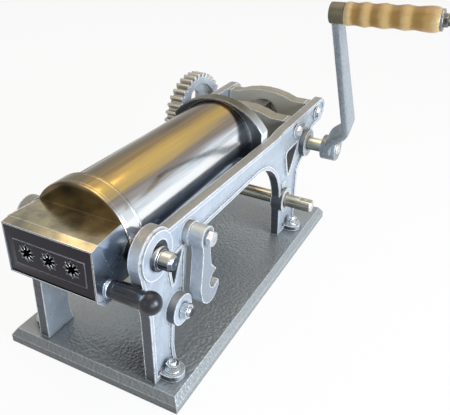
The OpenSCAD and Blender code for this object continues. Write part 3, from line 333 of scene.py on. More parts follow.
    def shade(self, tree: Tree, shader: bpy.types.Node) -> None:
        """Dresses the shader with roughness, bump and colour, and lays each coat over the colour.

        The coats are the painted light and shade by facing, dust and painted top light, old oil and
        painted shade in inner corners, and wear and painted highlights on edges, each laid by its
        share: colour = colour + share * (coat - colour).

        Args:
            tree: the material's tree.
            shader: its Principled shader.
        """
        at = add(tree, "TexCoord", out="Object")
        coats = [*self.facets(tree, at), (self.upward(tree), self.dust_and_top_light)]
        if self.oil_and_corner_shade:
            coats.append((self.corners(tree), CORNER_OIL_AND_SHADE))
        coats.append((self.edges(tree, at), self.wear_and_edge_light))
        colour = self.base_colour(tree, at)
        for share, coat in coats:
            colour = add(tree, "Mix", {0: share, 6: colour, 7: linear(coat)}, 2, data_type="RGBA")
        tree.links.new(colour, shader.inputs["Base Color"])
        tree.links.new(self.roughness(tree, at), shader.inputs["Roughness"])
        tree.links.new(self.height(tree, at), shader.inputs["Normal"])

    def material(self) -> bpy.types.Material:
        """The material of this finish, made once and then used again.

        Returns:
            The Blender material.
        """
        made = bpy.data.materials.get(self.name)
        if made is None:
            made = bpy.data.materials.new(self.name)
            made.use_nodes = True
            shader = made.node_tree.nodes["Principled BSDF"]
            for socket, value in (("Metallic", self.metallic), ("Coat Weight", self.coat),
                                  ("Specular IOR Level", self.shine),
                                  ("Specular Tint", linear(self.grazing))):
                shader.inputs[socket].default_value = value
            self.shade(made.node_tree, shader)
        return made


@dataclass(frozen=True)
class MirrorSteel(Finish):
    """Polished stainless tube with painted reflections: long bright and dark bands that run with
    its axis.

    `bands` gives the painted reflection by the angle round the axis, in degrees from the crank side
    upwards. Between the two places `far_y` the bands turn to `far`, a painted shade towards the
    rear, as much as `far_shade_by_angle` says by the angle.
    """

    bands: tuple = ()
    # The painted shade that the tube's rear takes.
    far: str = "#544A42"
    far_y: tuple = (-65.0, -30.0)
    far_shade_by_angle: tuple = ((46.8, "#000000"), (64.8, "#5A5A5A"), (90, "#6A6A6A"), (100.8, "#F0F0F0"),
                     (147.6, "#F0F0F0"), (169.2, "#000000"))
    end_dark: str = "#463F33"
    end_light: str = "#7A6A50"
    end_mm: float = 38.0
    streak_mm: float = 6.0
    streak_drawn: float = 0.04
    streak_drift: float = 0.016

    def base_colour(self, tree: Tree, at: Socket) -> Socket:
        """Painted reflection = ramp(atan2(normal z, normal x) / 360 + 0.25 + noise drawn out along
        the axis).

        Flats that look along the axis take a soft two-tone painted reflection of their own.

        Args:
            tree: the material's tree.
            at: the coordinates.

        Returns:
            The colour.
        """
        normal = add(tree, "TexCoord", out="Normal")
        parts = add(tree, "SeparateXYZ", {0: normal}).node.outputs
        turn = add(tree, "Math", {0: parts["Z"], 1: parts["X"]}, operation="ARCTAN2")
        drawn = add(tree, "Mapping", {"Vector": at, "Scale": (1.0, self.streak_drawn, 1.0)})
        streak = add(tree, "TexNoise", {"Vector": drawn, "Scale": per_mm(self.streak_mm),
                                        "Detail": 3.0})
        drift = add(tree, "MapRange", {
            "Value": streak, **span(*STREAK_NOISE, -self.streak_drift, self.streak_drift)})
        share = add(tree, "Math", {0: turn, 1: 1 / FULL_TURN, 2: drift}, operation="MULTIPLY_ADD")
        quarter_on = add(tree, "Math", {0: share, 1: 0.25}, operation="ADD")
        round_share = add(tree, "Math", {0: quarter_on}, operation="FRACT")
        # Painted reflection bands round the axis, and how much painted shade dulls them towards the
        # rear.
        bands, far_shade_by_angle = (
            add(tree, "ValToRGB", {0: round_share},
                stops=[((angle + 90) / 360, colour) for angle, colour in ramp])
            for ramp in (self.bands, self.far_shade_by_angle))
        rear = add(tree, "MapRange", {"Value": add(tree, "SeparateXYZ", {0: at}, "Y"),
                                      **span(*(y * MM for y in self.far_y))})
        far = add(tree, "Math", {0: rear, 1: far_shade_by_angle}, operation="MULTIPLY")
        # Painted reflection on the flats that look along the axis.
        cloud = add(tree, "TexNoise", {"Vector": at, "Scale": per_mm(self.end_mm), "Detail": 2.0})
        end = add(tree, "ValToRGB", {0: cloud},
                  stops=[(0.36, self.end_dark), (0.66, self.end_light)])
        endways = add(tree, "Math", {0: parts["Y"]}, operation="ABSOLUTE")
        share = add(tree, "MapRange", {"Value": endways, **span(0.75, 0.92)})
        rear_shaded = add(tree, "Mix", {0: far, 6: bands, 7: linear(self.far)}, 2, data_type="RGBA")
        return add(tree, "Mix", {0: share, 6: rear_shaded, 7: end}, 2, data_type="RGBA")


@dataclass(frozen=True)
class Hammertone(Finish):
    """Hammered enamel: shallow round cells that pull the metal flake into rings.

    `cell_mm` is the width of a cell and `cell_deep` the depth of its dimple.
    """

    cell_mm: float = 4.2
    cell_deep: float = 0.22

    def cells(self, tree: Tree, at: Socket) -> Socket:
        """Distance to the nearest cell's middle, softened where cells meet."""
        return add(tree, "TexVoronoi", {"Vector": at, "Scale": per_mm(self.cell_mm),
                                        "Smoothness": 0.35}, "Distance", feature="SMOOTH_F1")

    def base_colour(self, tree: Tree, at: Socket) -> Socket:
        """Colour in a cell's middle, patch where the cells meet."""
        return add(tree, "ValToRGB", {0: self.cells(tree, at)},
                   stops=[(0.15, self.colour), (0.62, self.patch)])

    def height(self, tree: Tree, at: Socket) -> Socket:
        """The cells' dimples, over the broad lumps and fine grain of any finish."""
        return add(tree, "Bump", {"Strength": 1.0, "Distance": self.cell_deep * MM,
                                  "Height": self.cells(tree, at),
                                  "Normal": Finish.height(self, tree, at)})


@dataclass(frozen=True)
class GearIron(Finish):
    """Cast gear with machined faces: light where it looks along X, greasy brown on the flanks."""

    flank: str = "#B0AB9F"

    def base_colour(self, tree: Tree, at: Socket) -> Socket:
        """Machined tone over the flank's tone, as |normal X| goes from 0.5 to 0.9.

        Args:
            tree: the material's tree.
            at: the coordinates.

        Returns:
            The colour.
        """
        x = add(tree, "SeparateXYZ", {0: add(tree, "TexCoord", out="Normal")}, "X")
        sideways = add(tree, "Math", {0: x}, operation="ABSOLUTE")
        share = add(tree, "MapRange", {"Value": sideways, **span(0.9, 0.5)})
        return add(tree, "Mix", {0: share, 6: Finish.base_colour(self, tree, at),
                                 7: linear(self.flank)}, 2, data_type="RGBA")


@dataclass(frozen=True)
class VarnishedWood(Finish):
    """Turned wood under clear varnish: scorched rings and painted shade in the hollows, fine grain
    along the axis.

    `rings` gives the colour, scorch and painted hollow shade, by the share of the length, which
    each vertex carries as `along`.
    """

    rings: tuple = ()
    waver_mm: float = 5.0
    waver: float = 0.02
    fibre_mm: float = 1.4
    fibre_drawn: float = 0.06

    def base_colour(self, tree: Tree, at: Socket) -> Socket:
        """Ring colour, scorch and painted shade of the hollows, by the length's share, darkened by
        grain noise stretched along the axis.

        Args:
            tree: the material's tree.
            at: the coordinates.

        Returns:
            The colour.
        """
        along = add(tree, "Attribute", out="Fac", attribute_name="along")
        soft = add(tree, "TexNoise", {"Vector": at, "Scale": per_mm(self.waver_mm), "Detail": 2.0})
        drift = add(tree, "MapRange", {"Value": soft, **span(0.0, 1.0, -self.waver, self.waver)})
        share = add(tree, "Math", {0: along, 1: drift}, operation="ADD")
        # The rings lay painted shade in the hollows, over scorch lines.
        rings = add(tree, "ValToRGB", {0: share}, stops=self.rings)
        drawn = add(tree, "Mapping", {"Vector": at, "Scale": (self.fibre_drawn, 1.0, 1.0)})
        fibre = add(tree, "TexNoise", {"Vector": drawn, "Scale": per_mm(self.fibre_mm),
                                       "Detail": 5.0, "Roughness": 0.65})
        dark = add(tree, "MapRange", {"Value": fibre, **span(0.42, 0.75, 0.0, 0.22)})
        return add(tree, "Mix", {0: dark, 6: rings, 7: linear(self.patch)}, 2, data_type="RGBA")


class Finishes:
    """Every finish on the press, by what it is, in the order colour, patch, wear_and_edge_light,
    dust_and_top_light.
    """

    # Hammered enamel on the board: grey dimpled gloss, paler on top as dust and painted light, with
    # painted shade on its front and old oil with painted shade in the corners under the feet.
    BOARD = Hammertone(
        "hammered_board_enamel", "board_paint", "#7E8486", "#8E9496", "#DCE1E6", "#A0A4A4",
        metallic=0.4, rough=0.34, lumps_mm=14, lumps_deep=0.12, dust_and_top_light_share=0.6, edge_mm=1.8,
        cell_mm=3.6, cell_deep=0.55, oil_and_corner_shade=0.5, oil_and_corner_shade_mm=7.0, front="#616668")
    # Aluminium paint sprayed on a rough iron casting: pale, soft gloss, bright edges that are part
    # chips and part painted highlight, painted shade on faces that look to the front low down and
    # to the left, warm dust and painted shade on upward faces, and old oil with painted shade in
    # inner corners.
    CASTING = Finish(
        "silver_paint_on_casting", "silver_paint", "#B0BAC4", "#A2ACB6", "#F6F9FB", "#8D8778",
        metallic=0.4, rough=0.33, grain_mm=1.6, grain_deep=0.38, lumps_mm=5.5, lumps_deep=0.95,
        dust_and_top_light_share=0.8, patch_mm=14, edge_wear_and_light=1.0, edge_mm=2.2, oil_and_corner_shade=0.9, front="#484E55",
        front_below=150, left="#787F86")
    # The same paint on small castings, with less dust and painted top shade, and painted shade on
    # faces that look right.
    CAST_SMALL = Finish(
        "silver_paint_on_small_casting", "silver_paint", "#B4BCC4", "#A6AEB6", "#F6F9FB",
        "#BCBCB4", metallic=0.4, rough=0.33, grain_mm=1.6, grain_deep=0.3, lumps_mm=5.5,
        lumps_deep=0.8, dust_and_top_light_share=0.6, patch_mm=14, edge_wear_and_light=1.0, edge_mm=2.0, oil_and_corner_shade=0.6,
        right="#858E96")
    # Sand-cast aluminium with its edges linished: warm matt grey, bright rims that are part
    # linishing and part painted highlight, painted light on its front, and warm dust with painted
    # shade on top.
    CAST_BAR = Finish(
        "linished_cast_aluminium", "cast_aluminium", "#B8B7AC", "#9C998C", "#F0F2F0", "#877F66",
        metallic=0.45, rough=0.4, grain_mm=1.1, grain_deep=0.12, lumps_mm=6, lumps_deep=0.25,
        dust_and_top_light_share=0.7, oil_and_corner_shade=0.7, edge_wear_and_light=0.9, edge_mm=2.0, front="#D2D1C6")
    # A rough aluminium ring: brown on top as dust and painted shade, its right side painted near
    # white as highlight, and its front painted dark as shade.
    FLANGE = Finish(
        "rough_flange_casting", "flange_casting", "#A0A29E", "#8A8A82", "#DCDEDA", "#48412C",
        metallic=0.45, rough=0.42, grain_deep=0.1, lumps_deep=0.2, dust_and_top_light_share=1.0, oil_and_corner_shade=0.5,
        edge_wear_and_light=0.9, edge_mm=2.0, front="#303338", right="#E6ECF2")
    # Mirror-polished stainless tube: painted reflections in bands of white, gold and near black
    # that run lengthwise, dulled by painted shade towards the rear, with painted highlights on its
    # lips.
    BARREL = MirrorSteel(
        "mirror_polished_tube", "polished_steel", "#C0C4C8", "#B0B4B8", "#F0F4F8", "#C0C4C8",
        rough=0.16, rough_spread=0.06, dust_and_top_light_share=0, edge_wear_and_light=0.8, grain_deep=0.002, lumps_mm=25,
        lumps_deep=0.02, edge_mm=0.6, chipped=False, grazing="#E4E0DA",
        bands=((-90, "#15161A"), (-45, "#20242E"), (-6, "#6A7688"), (2, "#B8C8DC"),
               (7, "#DCE8F8"), (13, WHITE), (22, "#FBFDFF"), (29, "#F6FBFF"), (36, "#CAD2D9"),
               (44, "#9E9A98"), (51, "#857D76"), (58, "#B09A70"), (66, "#C8AB66"),
               (75, "#BFA062"), (83, "#98805A"), (94, "#7E7058"), (100, "#6A6252"),
               (112, "#66665F"), (118, "#9A9E9B"), (126, "#ACB0AE"), (134, "#A4A5A0"),
               (139, "#55564F"), (150, "#3C4040"), (168, "#7E8890"), (182, "#98A2AC"),
               (200, "#5C6670"), (225, "#2A2E38"), (269, "#15161A")))
    # Folded and polished stainless sheet: painted reflections of cloudy olive and straw, painted
    # highlights on its folded edges, and painted reflection and shade by facing: near black to the
    # front and below, pale blue to the right, slate to the left.
    SHEET = Finish(
        "polished_nozzle_sheet", "polished_steel", "#747160", "#BFB08C", "#F4F8FA", "#8F8A70",
        rough=0.24, rough_spread=0.1, dust_and_top_light_share=0, edge_wear_and_light=0.95, grain_deep=0.003, lumps_mm=30,
        patch_mm=48, edge_mm=0.9, chipped=False, front="#2E3140", right="#C2D2E6",
        left="#6E7A86", under="#1E1E22")
    # Pressed stainless plate in the nozzle's shade: painted dark like dark glass for shade and dark
    # reflection, with hair-thin painted highlights along its edges and painted tints on faces that
    # look to the front and right.
    DIE = Finish(
        "polished_die_plate", "die_steel", "#3A3B44", "#2A2C36", "#C8D0D8", "#3A3B44",
        rough=0.2, rough_spread=0.08, dust_and_top_light_share=0, edge_wear_and_light=0.95, grain_deep=0.003, lumps_mm=22,
        lumps_deep=0.08, patch_mm=30, edge_mm=0.6, front="#302E33", right="#5A626C",
        chipped=False)
    # The die's cut tongues and the box's weld beads, bright where a tool left them.
    CUT_EDGE = Finish(
        "bright_punched_edge", "die_steel", "#A2A8AE", "#767C82", "#F2F5F7", "#A0A29E",
        rough=0.25, patch_mm=4, grain_deep=0.01, lumps_deep=0.02)
    # Ground shaft steel, wiped with oil: warm grey and satin, with painted light and shade by
    # facing: paler on top and to the right, darker below.
    SHAFT = Finish(
        "oiled_ground_steel", "turned_steel", "#A9AAA0", "#9C9C90", "#E4E5E0", "#D2CEBC",
        rough=0.32, patch_mm=30, grain_mm=0.5, grain_deep=0.006, lumps_deep=0.006,
        dust_and_top_light_share=0.9, chipped=False, edge_wear_and_light=0.6, front="#A4A89C", under="#5A5A52",
        right="#D8DCDC")
    # Pins turned and polished on a lathe, with painted reflections: a pale line on top, dark to the
    # front, below and on the right ends, and painted highlights on the rims.
    PIN = Finish(
        "bright_turned_pin", "turned_steel", "#A39C88", "#938C7A", "#F4F6F8", "#CFC9BC",
        rough=0.2, patch_mm=24, grain_deep=0.002, lumps_deep=0.004, dust_and_top_light_share=0.9,
        chipped=False, edge_wear_and_light=1.0, edge_mm=1.2, front="#565C64", under="#3C4048",
        right="#66727F", grazing="#A0A0A0")
    # Cast iron gears: faces turned pale and clean, teeth and rims left greasy.
    GEAR = GearIron(
        "machined_gear_iron", "gear_iron", "#DCE6EE", "#C4D0DA", "#F0F4F8", "#8C8676",
        metallic=0.6, rough=0.38, grain_mm=0.9, grain_deep=0.05, dust_and_top_light_share=0.2, oil_and_corner_shade=0.35,
        edge_wear_and_light=0.9, edge_mm=1.5)
    # Milled rack and keys: grey steel with brown oil in fine streaks.
    CUT = Finish(
        "milled_tooth_steel", "cut_steel", "#8E8F8C", "#6C6A62", "#D2D4D2", "#7E786A",
        rough=0.32, patch_mm=6, grain_deep=0.02, dust_and_top_light_share=0.2)
    # Hammered enamel on the crank: small dimples, warm dust and painted shade on its upward faces,
    # and old oil with painted shade in inner corners.
    CRANK = Hammertone(
        "hammered_crank_paint", "hammered_paint", "#7E868B", "#949CA2", "#DCE2E6", "#736E5E",
        metallic=0.45, rough=0.34, cell_mm=3.0, cell_deep=0.2, dust_and_top_light_share=0.7,
        lumps_deep=0.1, oil_and_corner_shade=0.4)
    # The same enamel on the top boss, painted dark olive brown as shade.
    BOSS = Hammertone(
        "shade_dark_hammered_boss", "hammered_paint", "#57513D", "#605B48", "#B8B8AE", "#645F4E",
        metallic=0.4, rough=0.4, cell_mm=3.0, cell_deep=0.15, lumps_deep=0.1)
    # The hub's end, faced on a lathe: bare, pale and clean.
    FACED = Finish(
        "faced_cast_iron", "hammered_paint", "#9AA0A4", "#8A9094", "#E4E6E8", "#9C9C96",
        rough=0.3, patch_mm=8, grain_deep=0.01, lumps_deep=0.02, edge_wear_and_light=0.9)
    # Bright zinc on small fasteners: cool, glossy, a little cloudy.
    ZINC = Finish(
        "bright_zinc_plate", "zinc", "#E2E6EA", "#BEC4CA", "#F8FAFC", "#A8A498", rough=0.22,
        patch_mm=5, grain_deep=0.006, lumps_deep=0.01, dust_and_top_light_share=0.45)
    # Zinc gone grey and satin where the turning grip rubs its washer.
    GREY_ZINC = Finish(
        "rubbed_grey_zinc", "zinc", "#7C8386", "#686E70", "#C8CCCE", "#7C8078", rough=0.32,
        patch_mm=5, grain_deep=0.006, lumps_deep=0.01)
    # Nickel plate tarnished brown-grey, with bright corners.
    NICKEL = Finish(
        "tarnished_nickel", "nickel", "#56564F", "#44433F", "#B0AEA8", "#6C6A62", rough=0.34,
        patch_mm=5, grain_deep=0.004, lumps_deep=0.01, dust_and_top_light_share=0.3)
    # Blackened set screws: almost black, satin.
    BLACK = Finish(
        "black_oxide", "black_oxide", "#3A3C40", "#2A2B2E", "#8A8C90", "#46443E", rough=0.4,
        patch_mm=4, grain_deep=0.01, dust_and_top_light_share=0.3)
    # Pressed and sintered bronze bushes: dull brown gold with open pores.
    BRONZE = Finish(
        "sintered_bronze", "bronze", "#8A7450", "#6E5C3E", "#B8A078", "#786A50", rough=0.36,
        patch_mm=5, grain_mm=0.4, grain_deep=0.02, dust_and_top_light_share=0.3)
    # Turned aluminium disc: pale and silky.
    PISTON = Finish(
        "turned_piston_aluminium", "piston_aluminium", "#C5C9CC", "#A8ACB0", "#EEF0F2",
        "#B0AEA6", rough=0.28, grain_deep=0.01, dust_and_top_light_share=0.3)
    # Phenolic moulding, buffed: blue-black with one broad soft highlight.
    BAKELITE = Finish(
        "buffed_phenolic", "bakelite", "#10141C", "#141822", "#2A2E36", "#141820", metallic=0.0,
        rough=0.3, rough_spread=0.04, grain_deep=0.001, lumps_deep=0.005, dust_and_top_light_share=0.2,
        edge_wear_and_light=0.3, shine=0.45)
    # Moulded food-grade rubber: cream and matt.
    SEAL = Finish(
        "food_seal_rubber", "seal_rubber", "#DEDACE", "#CFCABC", "#EAE6DC", "#CFC9B8",
        metallic=0.0, rough=0.6, dust_and_top_light_share=0.3)
    # Beech turned on a lathe and varnished: honey crests, brown hollows that are part scorch and
    # part painted shade, soft gloss.
    WOOD = VarnishedWood(
        "varnished_turned_wood", "varnished_wood", "#D9BC85", "#8A6530", "#E6D2A8", "#C8A86C",
        metallic=0.0, rough=0.34, rough_spread=0.1, grain_mm=1.2, lumps_mm=9, lumps_deep=0.04,
        dust_and_top_light_share=0, edge_wear_and_light=0.2, coat=0.2, shine=0.35, chipped=False,
        rings=((0.0, "#C4AC7F"), (0.07, "#C4A875"), (0.10, "#927235"), (0.165, "#9A783B"),
               (0.20, "#BC9F69"), (0.27, "#B89A62"), (0.305, "#906F33"), (0.36, "#9A783B"),
               (0.40, "#BC9F69"), (0.48, "#B89962"), (0.52, "#906F33"), (0.59, "#9A783B"),
               (0.625, "#BEA16B"), (0.70, "#B89A62"), (0.735, "#927235"), (0.825, "#9A783B"),
               (0.86, "#AE8D53"), (0.92, "#B39158"), (0.94, "#B69E73"), (1.0, "#B2986C")))


def soft_profile(corners: list[tuple[float, float, float]], steps: int = 4) -> Points:
    """Rounds the corners of a profile with quadratic curves from one side to the other.

    Args:
        corners: (place, radius, rounding) in millimetres.
        steps: how many pieces each rounding has.

    Returns:
        (n, 2) of place and radius.
    """
    points = [np.array(c[:2], dtype=float) for c in corners]
    rows: list[Points] = []
    for i, (corner, (_, _, r)) in enumerate(zip(points, corners)):
        if r <= 0 or i in (0, len(points) - 1):
            rows.append(corner)
            continue
        back, ahead = points[i - 1] - corner, points[i + 1] - corner
        start = corner + back / np.linalg.norm(back) * r
        end = corner + ahead / np.linalg.norm(ahead) * r
        t = np.linspace(0, 1, steps + 1)[:, None]
        rows.extend((1 - t) ** 2 * start + 2 * t * (1 - t) * corner + t ** 2 * end)
    return np.array(rows)


def drum(start: float, end: float, radius: float, first: float, last: float) -> Points:
    """The profile of a closed cylinder whose rims are rounded by `first` and `last`."""
    return soft_profile([(start, 0, 0), (start, radius, first), (end, radius, last), (end, 0, 0)])


def grid_mesh(grid: Points, ring: bool = False, sharp: float = SHARP_FROM) -> Mesh:
    """Skins a grid of points whose columns go round, its poles merged and its faces outward.

    Args:
        grid: (rows, columns, 3) points in millimetres.
        ring: whether the last row joins the first.
        sharp: the angle past which an edge stays sharp, in degrees.

    Returns:
        The mesh, in metres.
    """
    rows, columns = grid.shape[:2]
    i, j = np.meshgrid(np.arange(rows if ring else rows - 1), np.arange(columns), indexing="ij")
    below, right = (i + 1) % rows, (j + 1) % columns
    faces = np.stack([i * columns + j, i * columns + right, below * columns + right,
                      below * columns + j], axis=-1).reshape(-1, 4)
    mesh = bpy.data.meshes.new("grid")
    mesh.from_pydata((grid.reshape(-1, 3) * MM).tolist(), [], faces.tolist())
    return cleaned(mesh, sharp)


def turned(rows: Points, at: Points, frame: tuple, turns: int = 96, ring: bool = False,
           sharp: float = SHARP_FROM,
           shape: Optional[Callable[[Points, Points], Points]] = None) -> Mesh:
    """Carries a profile round an axis: point = at + a * axis + r * (cos t * u + sin t * v).

    Args:
        rows: (n, 2) of place along the axis and radius, in millimetres.
        at: a point on the axis, in millimetres.
        frame: the axis and the two directions across it.
        turns: how many steps go round.
        ring: whether the profile is closed, as a washer's is.
        sharp: the angle past which an edge stays sharp, in degrees.
        shape: changes the radii, from (angles, radii) of the whole grid.

    Returns:
        The mesh.
    """
    axis, u, v = (np.array(d, dtype=float) for d in frame)
    angle = np.linspace(0, FULL_TURN, turns, endpoint=False)[None, :]
    radius = np.repeat(rows[:, 1:2], turns, axis=1)
    if shape is not None:
        radius = shape(np.repeat(angle, len(rows), axis=0), radius)
    flat = np.cos(angle)[..., None] * u + np.sin(angle)[..., None] * v
    return grid_mesh(at + rows[:, 0, None, None] * axis + radius[..., None] * flat, ring, sharp)


def smoothed(mesh: Mesh, sharp: float) -> Mesh:
    """Shades a mesh smooth but for its sharp edges.

    Args:
        mesh: the mesh to change.
        sharp: the angle past which an edge stays sharp, in degrees.

    Returns:
        The same mesh.
    """
    mesh.shade_smooth()
    mesh.set_sharp_from_angle(angle=math.radians(sharp))
    return mesh


def cleaned(mesh: Mesh, sharp: float, flatten: bool = False) -> Mesh:
    """Merges doubles, turns the faces outward and smooths all but the sharp edges.

    Args:
        mesh: the mesh to change.
        sharp: the angle past which an edge stays sharp, in degrees.
        flatten: whether triangles on one plane are joined first.

    Returns:
        The same mesh.
    """
    work = bmesh.new()
    work.from_mesh(mesh)
    bmesh.ops.remove_doubles(work, verts=work.verts, dist=MERGE_WITHIN)
    bmesh.ops.dissolve_degenerate(work, edges=work.edges, dist=MERGE_WITHIN / 2)
    if flatten:
        bmesh.ops.dissolve_limit(work, angle_limit=math.radians(FLAT_WITHIN), verts=work.verts,
                                 edges=work.edges, delimit=set())
    bmesh.ops.recalc_face_normals(work, faces=work.faces)
    work.to_mesh(mesh)
    work.free()
    return smoothed(mesh, sharp)


def joined(meshes: list[Mesh], sharp: float = SHARP_FROM) -> Mesh:
    """Puts several meshes into one, each as its own closed shell.

    Args:
        meshes: the meshes, which are used up.
        sharp: the angle past which an edge stays sharp, in degrees.

    Returns:
        The whole.
    """
    work = bmesh.new()
    for mesh in meshes:
        work.from_mesh(mesh)
        bpy.data.meshes.remove(mesh)
    whole = bpy.data.meshes.new("whole")
    work.to_mesh(whole)
    work.free()
    return smoothed(whole, sharp)


def put(name: str, mesh: Mesh, finish: Finish, body: Body, *replaces: str) -> bpy.types.Object:
    """Shows a mesh as a piece of the press.

    Args:
        name: the piece's name.
        mesh: its mesh.
        finish: its finish.
        body: the body that carries it.
        replaces: the CAD nodes that it stands for.

    Returns:
        The piece's object.
    """
    mesh.name = name
    piece = bpy.data.objects.new(name, mesh)
    bpy.context.scene.collection.objects.link(piece)
    mesh.materials.clear()
    mesh.materials.append(finish.material())
    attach(piece, body.value)
    if replaces:
        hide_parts(*replaces)
    LOG.info("%s: %s, %d faces, rides on %s", name, finish.name, len(mesh.polygons), body.value)
    return piece


def body_of(node: str) -> Body:
    """The body that a CAD node rides on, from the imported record."""
    bodies = FRAME["record"]["behaviour"]["bodies"]
    return Body(next(name for name, nodes in bodies.items() if node in nodes))


def from_cad(node: str, finish: Finish, width: float = 0.0, segments: int = 2) -> None:
    """Shows a merged copy of a CAD node, its flats joined and its sharp edges bevelled.

    Args:
        node: the CAD node.
        finish: its finish.
        width: the bevel's width in millimetres, or 0 for none.
        segments: how many faces the bevel has.
    """
    mesh = cleaned(FRAME["nodes"][node].data.copy(), CAD_SHARP_FROM, flatten=True)
    piece = put(f"{node}_dressed", mesh, finish, body_of(node), node)
    if width:
        bevel = piece.modifiers.new("edge", "BEVEL")
        bevel.width = width * MM
        bevel.segments = segments
        bevel.limit_method = "ANGLE"
        bevel.angle_limit = math.radians(BEVEL_FROM)
        bevel.use_clamp_overlap = True
        bevel.harden_normals = False


def canted(cant: float) -> tuple:
    """An axis that leans up from X by `cant`, and the two directions across it."""
    c, s = math.cos(cant), math.sin(cant)
    return ((c, 0, s), (0, 1, 0), (-s, 0, c))


def hexagon(angle: Points, apothem: float) -> Points:
    """Radius of a hexagon: apothem / cos(((t + 30) mod 60) - 30), with t in degrees."""
    sixth = math.pi / 3
    return apothem / np.cos(np.mod(angle + sixth / 2, sixth) - sixth / 2)


def hex_head(at: Points, frame: tuple, reach: float, height: float, bore: float = 0.0,
             washer: float = 0.0) -> Mesh:
    """A chamfered hexagon: its height drops by tan 30 of how far it lies past a circle.

    Args:
        at: the middle of its foot, in millimetres.
        frame: its axis and the two directions across it.
        reach: the radius over its corners.
        height: its height.
        bore: the radius of its hole, or 0 for a bolt's closed head.
        washer: the height of a round face turned under it.

    Returns:
        The mesh.
    """
    axis, u, v = (np.array(d, dtype=float) for d in frame)
    angle = np.linspace(0, FULL_TURN, 48, endpoint=False)
    apothem = reach * math.cos(math.pi / 6)
    flats, circle = hexagon(angle, apothem), apothem * CHAMFER_AT
    drop = np.maximum(flats - circle, 0) * math.tan(math.pi / 6)
    lip, sunk = (bore + 0.5, 0.4) if bore else (0.0, 0.0)
    rows = ((bore, sunk), (lip, 0), (circle, 0), (circle, washer), (flats, washer + drop),
            (flats, height - drop), (circle, height), (lip, height), (bore, height - sunk))
    radius, rise = (np.array([np.broadcast_to(row[k], angle.shape) for row in rows])[..., None]
                    for k in (0, 1))
    grid = at + rise * axis + radius * (np.cos(angle)[:, None] * u + np.sin(angle)[:, None] * v)
    return grid_mesh(grid, ring=bore > 0)


def thread_end(at: Points, frame: tuple, radius: float, length: float, pitch: float,
               domed: float = 0.6) -> Mesh:
    """A stud's end: the radius follows a rounded saw of the pitch and closes in a low dome.

    Args:
        at: where it leaves the nut, in millimetres.
        frame: its axis and the two directions across it.
        radius: the radius over its threads.
        length: how far it stands out.
        pitch: from thread to thread.
        domed: the height of the dome.

    Returns:
        The mesh.
    """
    along = np.arange(0, length - domed, pitch / 4)
    saw = radius - THREAD_DEEP * pitch * (0.5 - 0.5 * np.cos(FULL_TURN * along / pitch))
    turn = np.linspace(0, math.pi / 2, 5)
    dome = np.stack([length - domed + domed * np.sin(turn), (radius - 0.4) * np.cos(turn)], axis=1)
    return turned(np.vstack([[[0, 0]], np.stack([along, saw], axis=1), dome]), at, frame, 40)


def flat_washer(at: Points, frame: tuple, inner: float, outer: float, thick: float) -> Mesh:
    """A pressed washer: a ring of rectangular section with rolled outer corners."""
    rows = soft_profile([(0, inner, 0), (0, outer, 0.4), (thick, outer, 0.5), (thick, inner, 0)], 3)
    return turned(rows, at, frame, 64, ring=True)


@dataclass
class Board:
    """The base board: a painted slab with a broad bevel round its top."""

    edge: float = 1.2

    def build(self) -> None:
        """Shows the board with its arrises rubbed round."""
        from_cad("base_board", Finishes.BOARD, self.edge, 3)


@dataclass
class SideFrames:
    """The two cast side plates, their feet and all that bolts them down."""

    board_top: float = 17.5
    foot_x: tuple = (87.0, -82.0)
    foot_y: tuple = (31.0, 359.987)
    foot_r: float = 12.5
    foot_h: float = 7.0
    crown_r: float = 9.6
    nut_reach: float = 7.5
    nut_h: float = 6.5
    washer_r: float = 8.4
    washer_t: float = 1.6
    stud_r: float = 4.0
    stud_out: float = 3.0
    stud_pitch: float = 1.25
    stud_foot: float = 1.5
    head_r: float = 9.5
    head_top: float = 5.5
    edge: float = 0.9

    def pad(self, x: float, y: float) -> Mesh:
        """A round cast foot that swells towards the board and rolls over on top.

        Its radius is r * (0.988 + 0.01 * sin(3 t + x)), a casting's slight out-of-round.

        Args:
            x: its middle.
            y: its middle, from the board's front edge.

        Returns:
            The mesh.
        """
        r, top = self.foot_r, self.foot_h
        rows = soft_profile([(0.05, 0, 0), (0.05, r - 0.1, 0.3), (1.2, r, 0.8), (top - 0.1, r, 1.6),
                             (top + 0.1, self.crown_r, 0.8), (top + 0.1, 0, 0)])
        return turned(rows, place(x, y, self.board_top), Axis.UP.value, 64,
                      shape=lambda t, radius: radius * (0.988 + 0.010 * np.sin(3 * t + x)))

    def build(self) -> None:
        """Shows both castings, and the pads, washers, nuts and studs at all four feet."""
        for node in ("right_side_frame", "left_side_frame"):
            from_cad(node, Finishes.CASTING, self.edge)
        pads, washers, nuts, studs = [], [], [], []
        up = Axis.UP.value
        top = self.board_top + self.foot_h
        seat = top + self.washer_t
        length = seat + self.nut_h + self.stud_out - self.stud_foot
        for x in self.foot_x:
            for y in self.foot_y:
                pads.append(self.pad(x, y))
                washers.append(flat_washer(place(x, y, top), up, self.stud_r, self.washer_r,
                                           self.washer_t))
                nuts.append(hex_head(place(x, y, seat), up, self.nut_reach, self.nut_h,
                                     self.stud_r))
                studs.append(thread_end(place(x, y, self.stud_foot), up, self.stud_r, length,
                                        self.stud_pitch))
                studs.append(turned(drum(self.stud_foot, self.head_top, self.head_r, 0.6, 0.6),
                                    place(x, y, 0), up, 48))
        put("foot_pads", joined(pads), Finishes.CAST_SMALL, Body.PRESS)
        for name, meshes, sharp, node in (
            ("foot_washers_rolled", washers, SHARP_FROM, "foot_washers"),
            ("foot_nuts_chamfered", nuts, 24, "foot_nuts"),
            ("foot_studs_threaded", studs, 50, "foot_bolts"),
        ):
            put(name, joined(meshes, sharp), Finishes.ZINC, Body.PRESS, node)


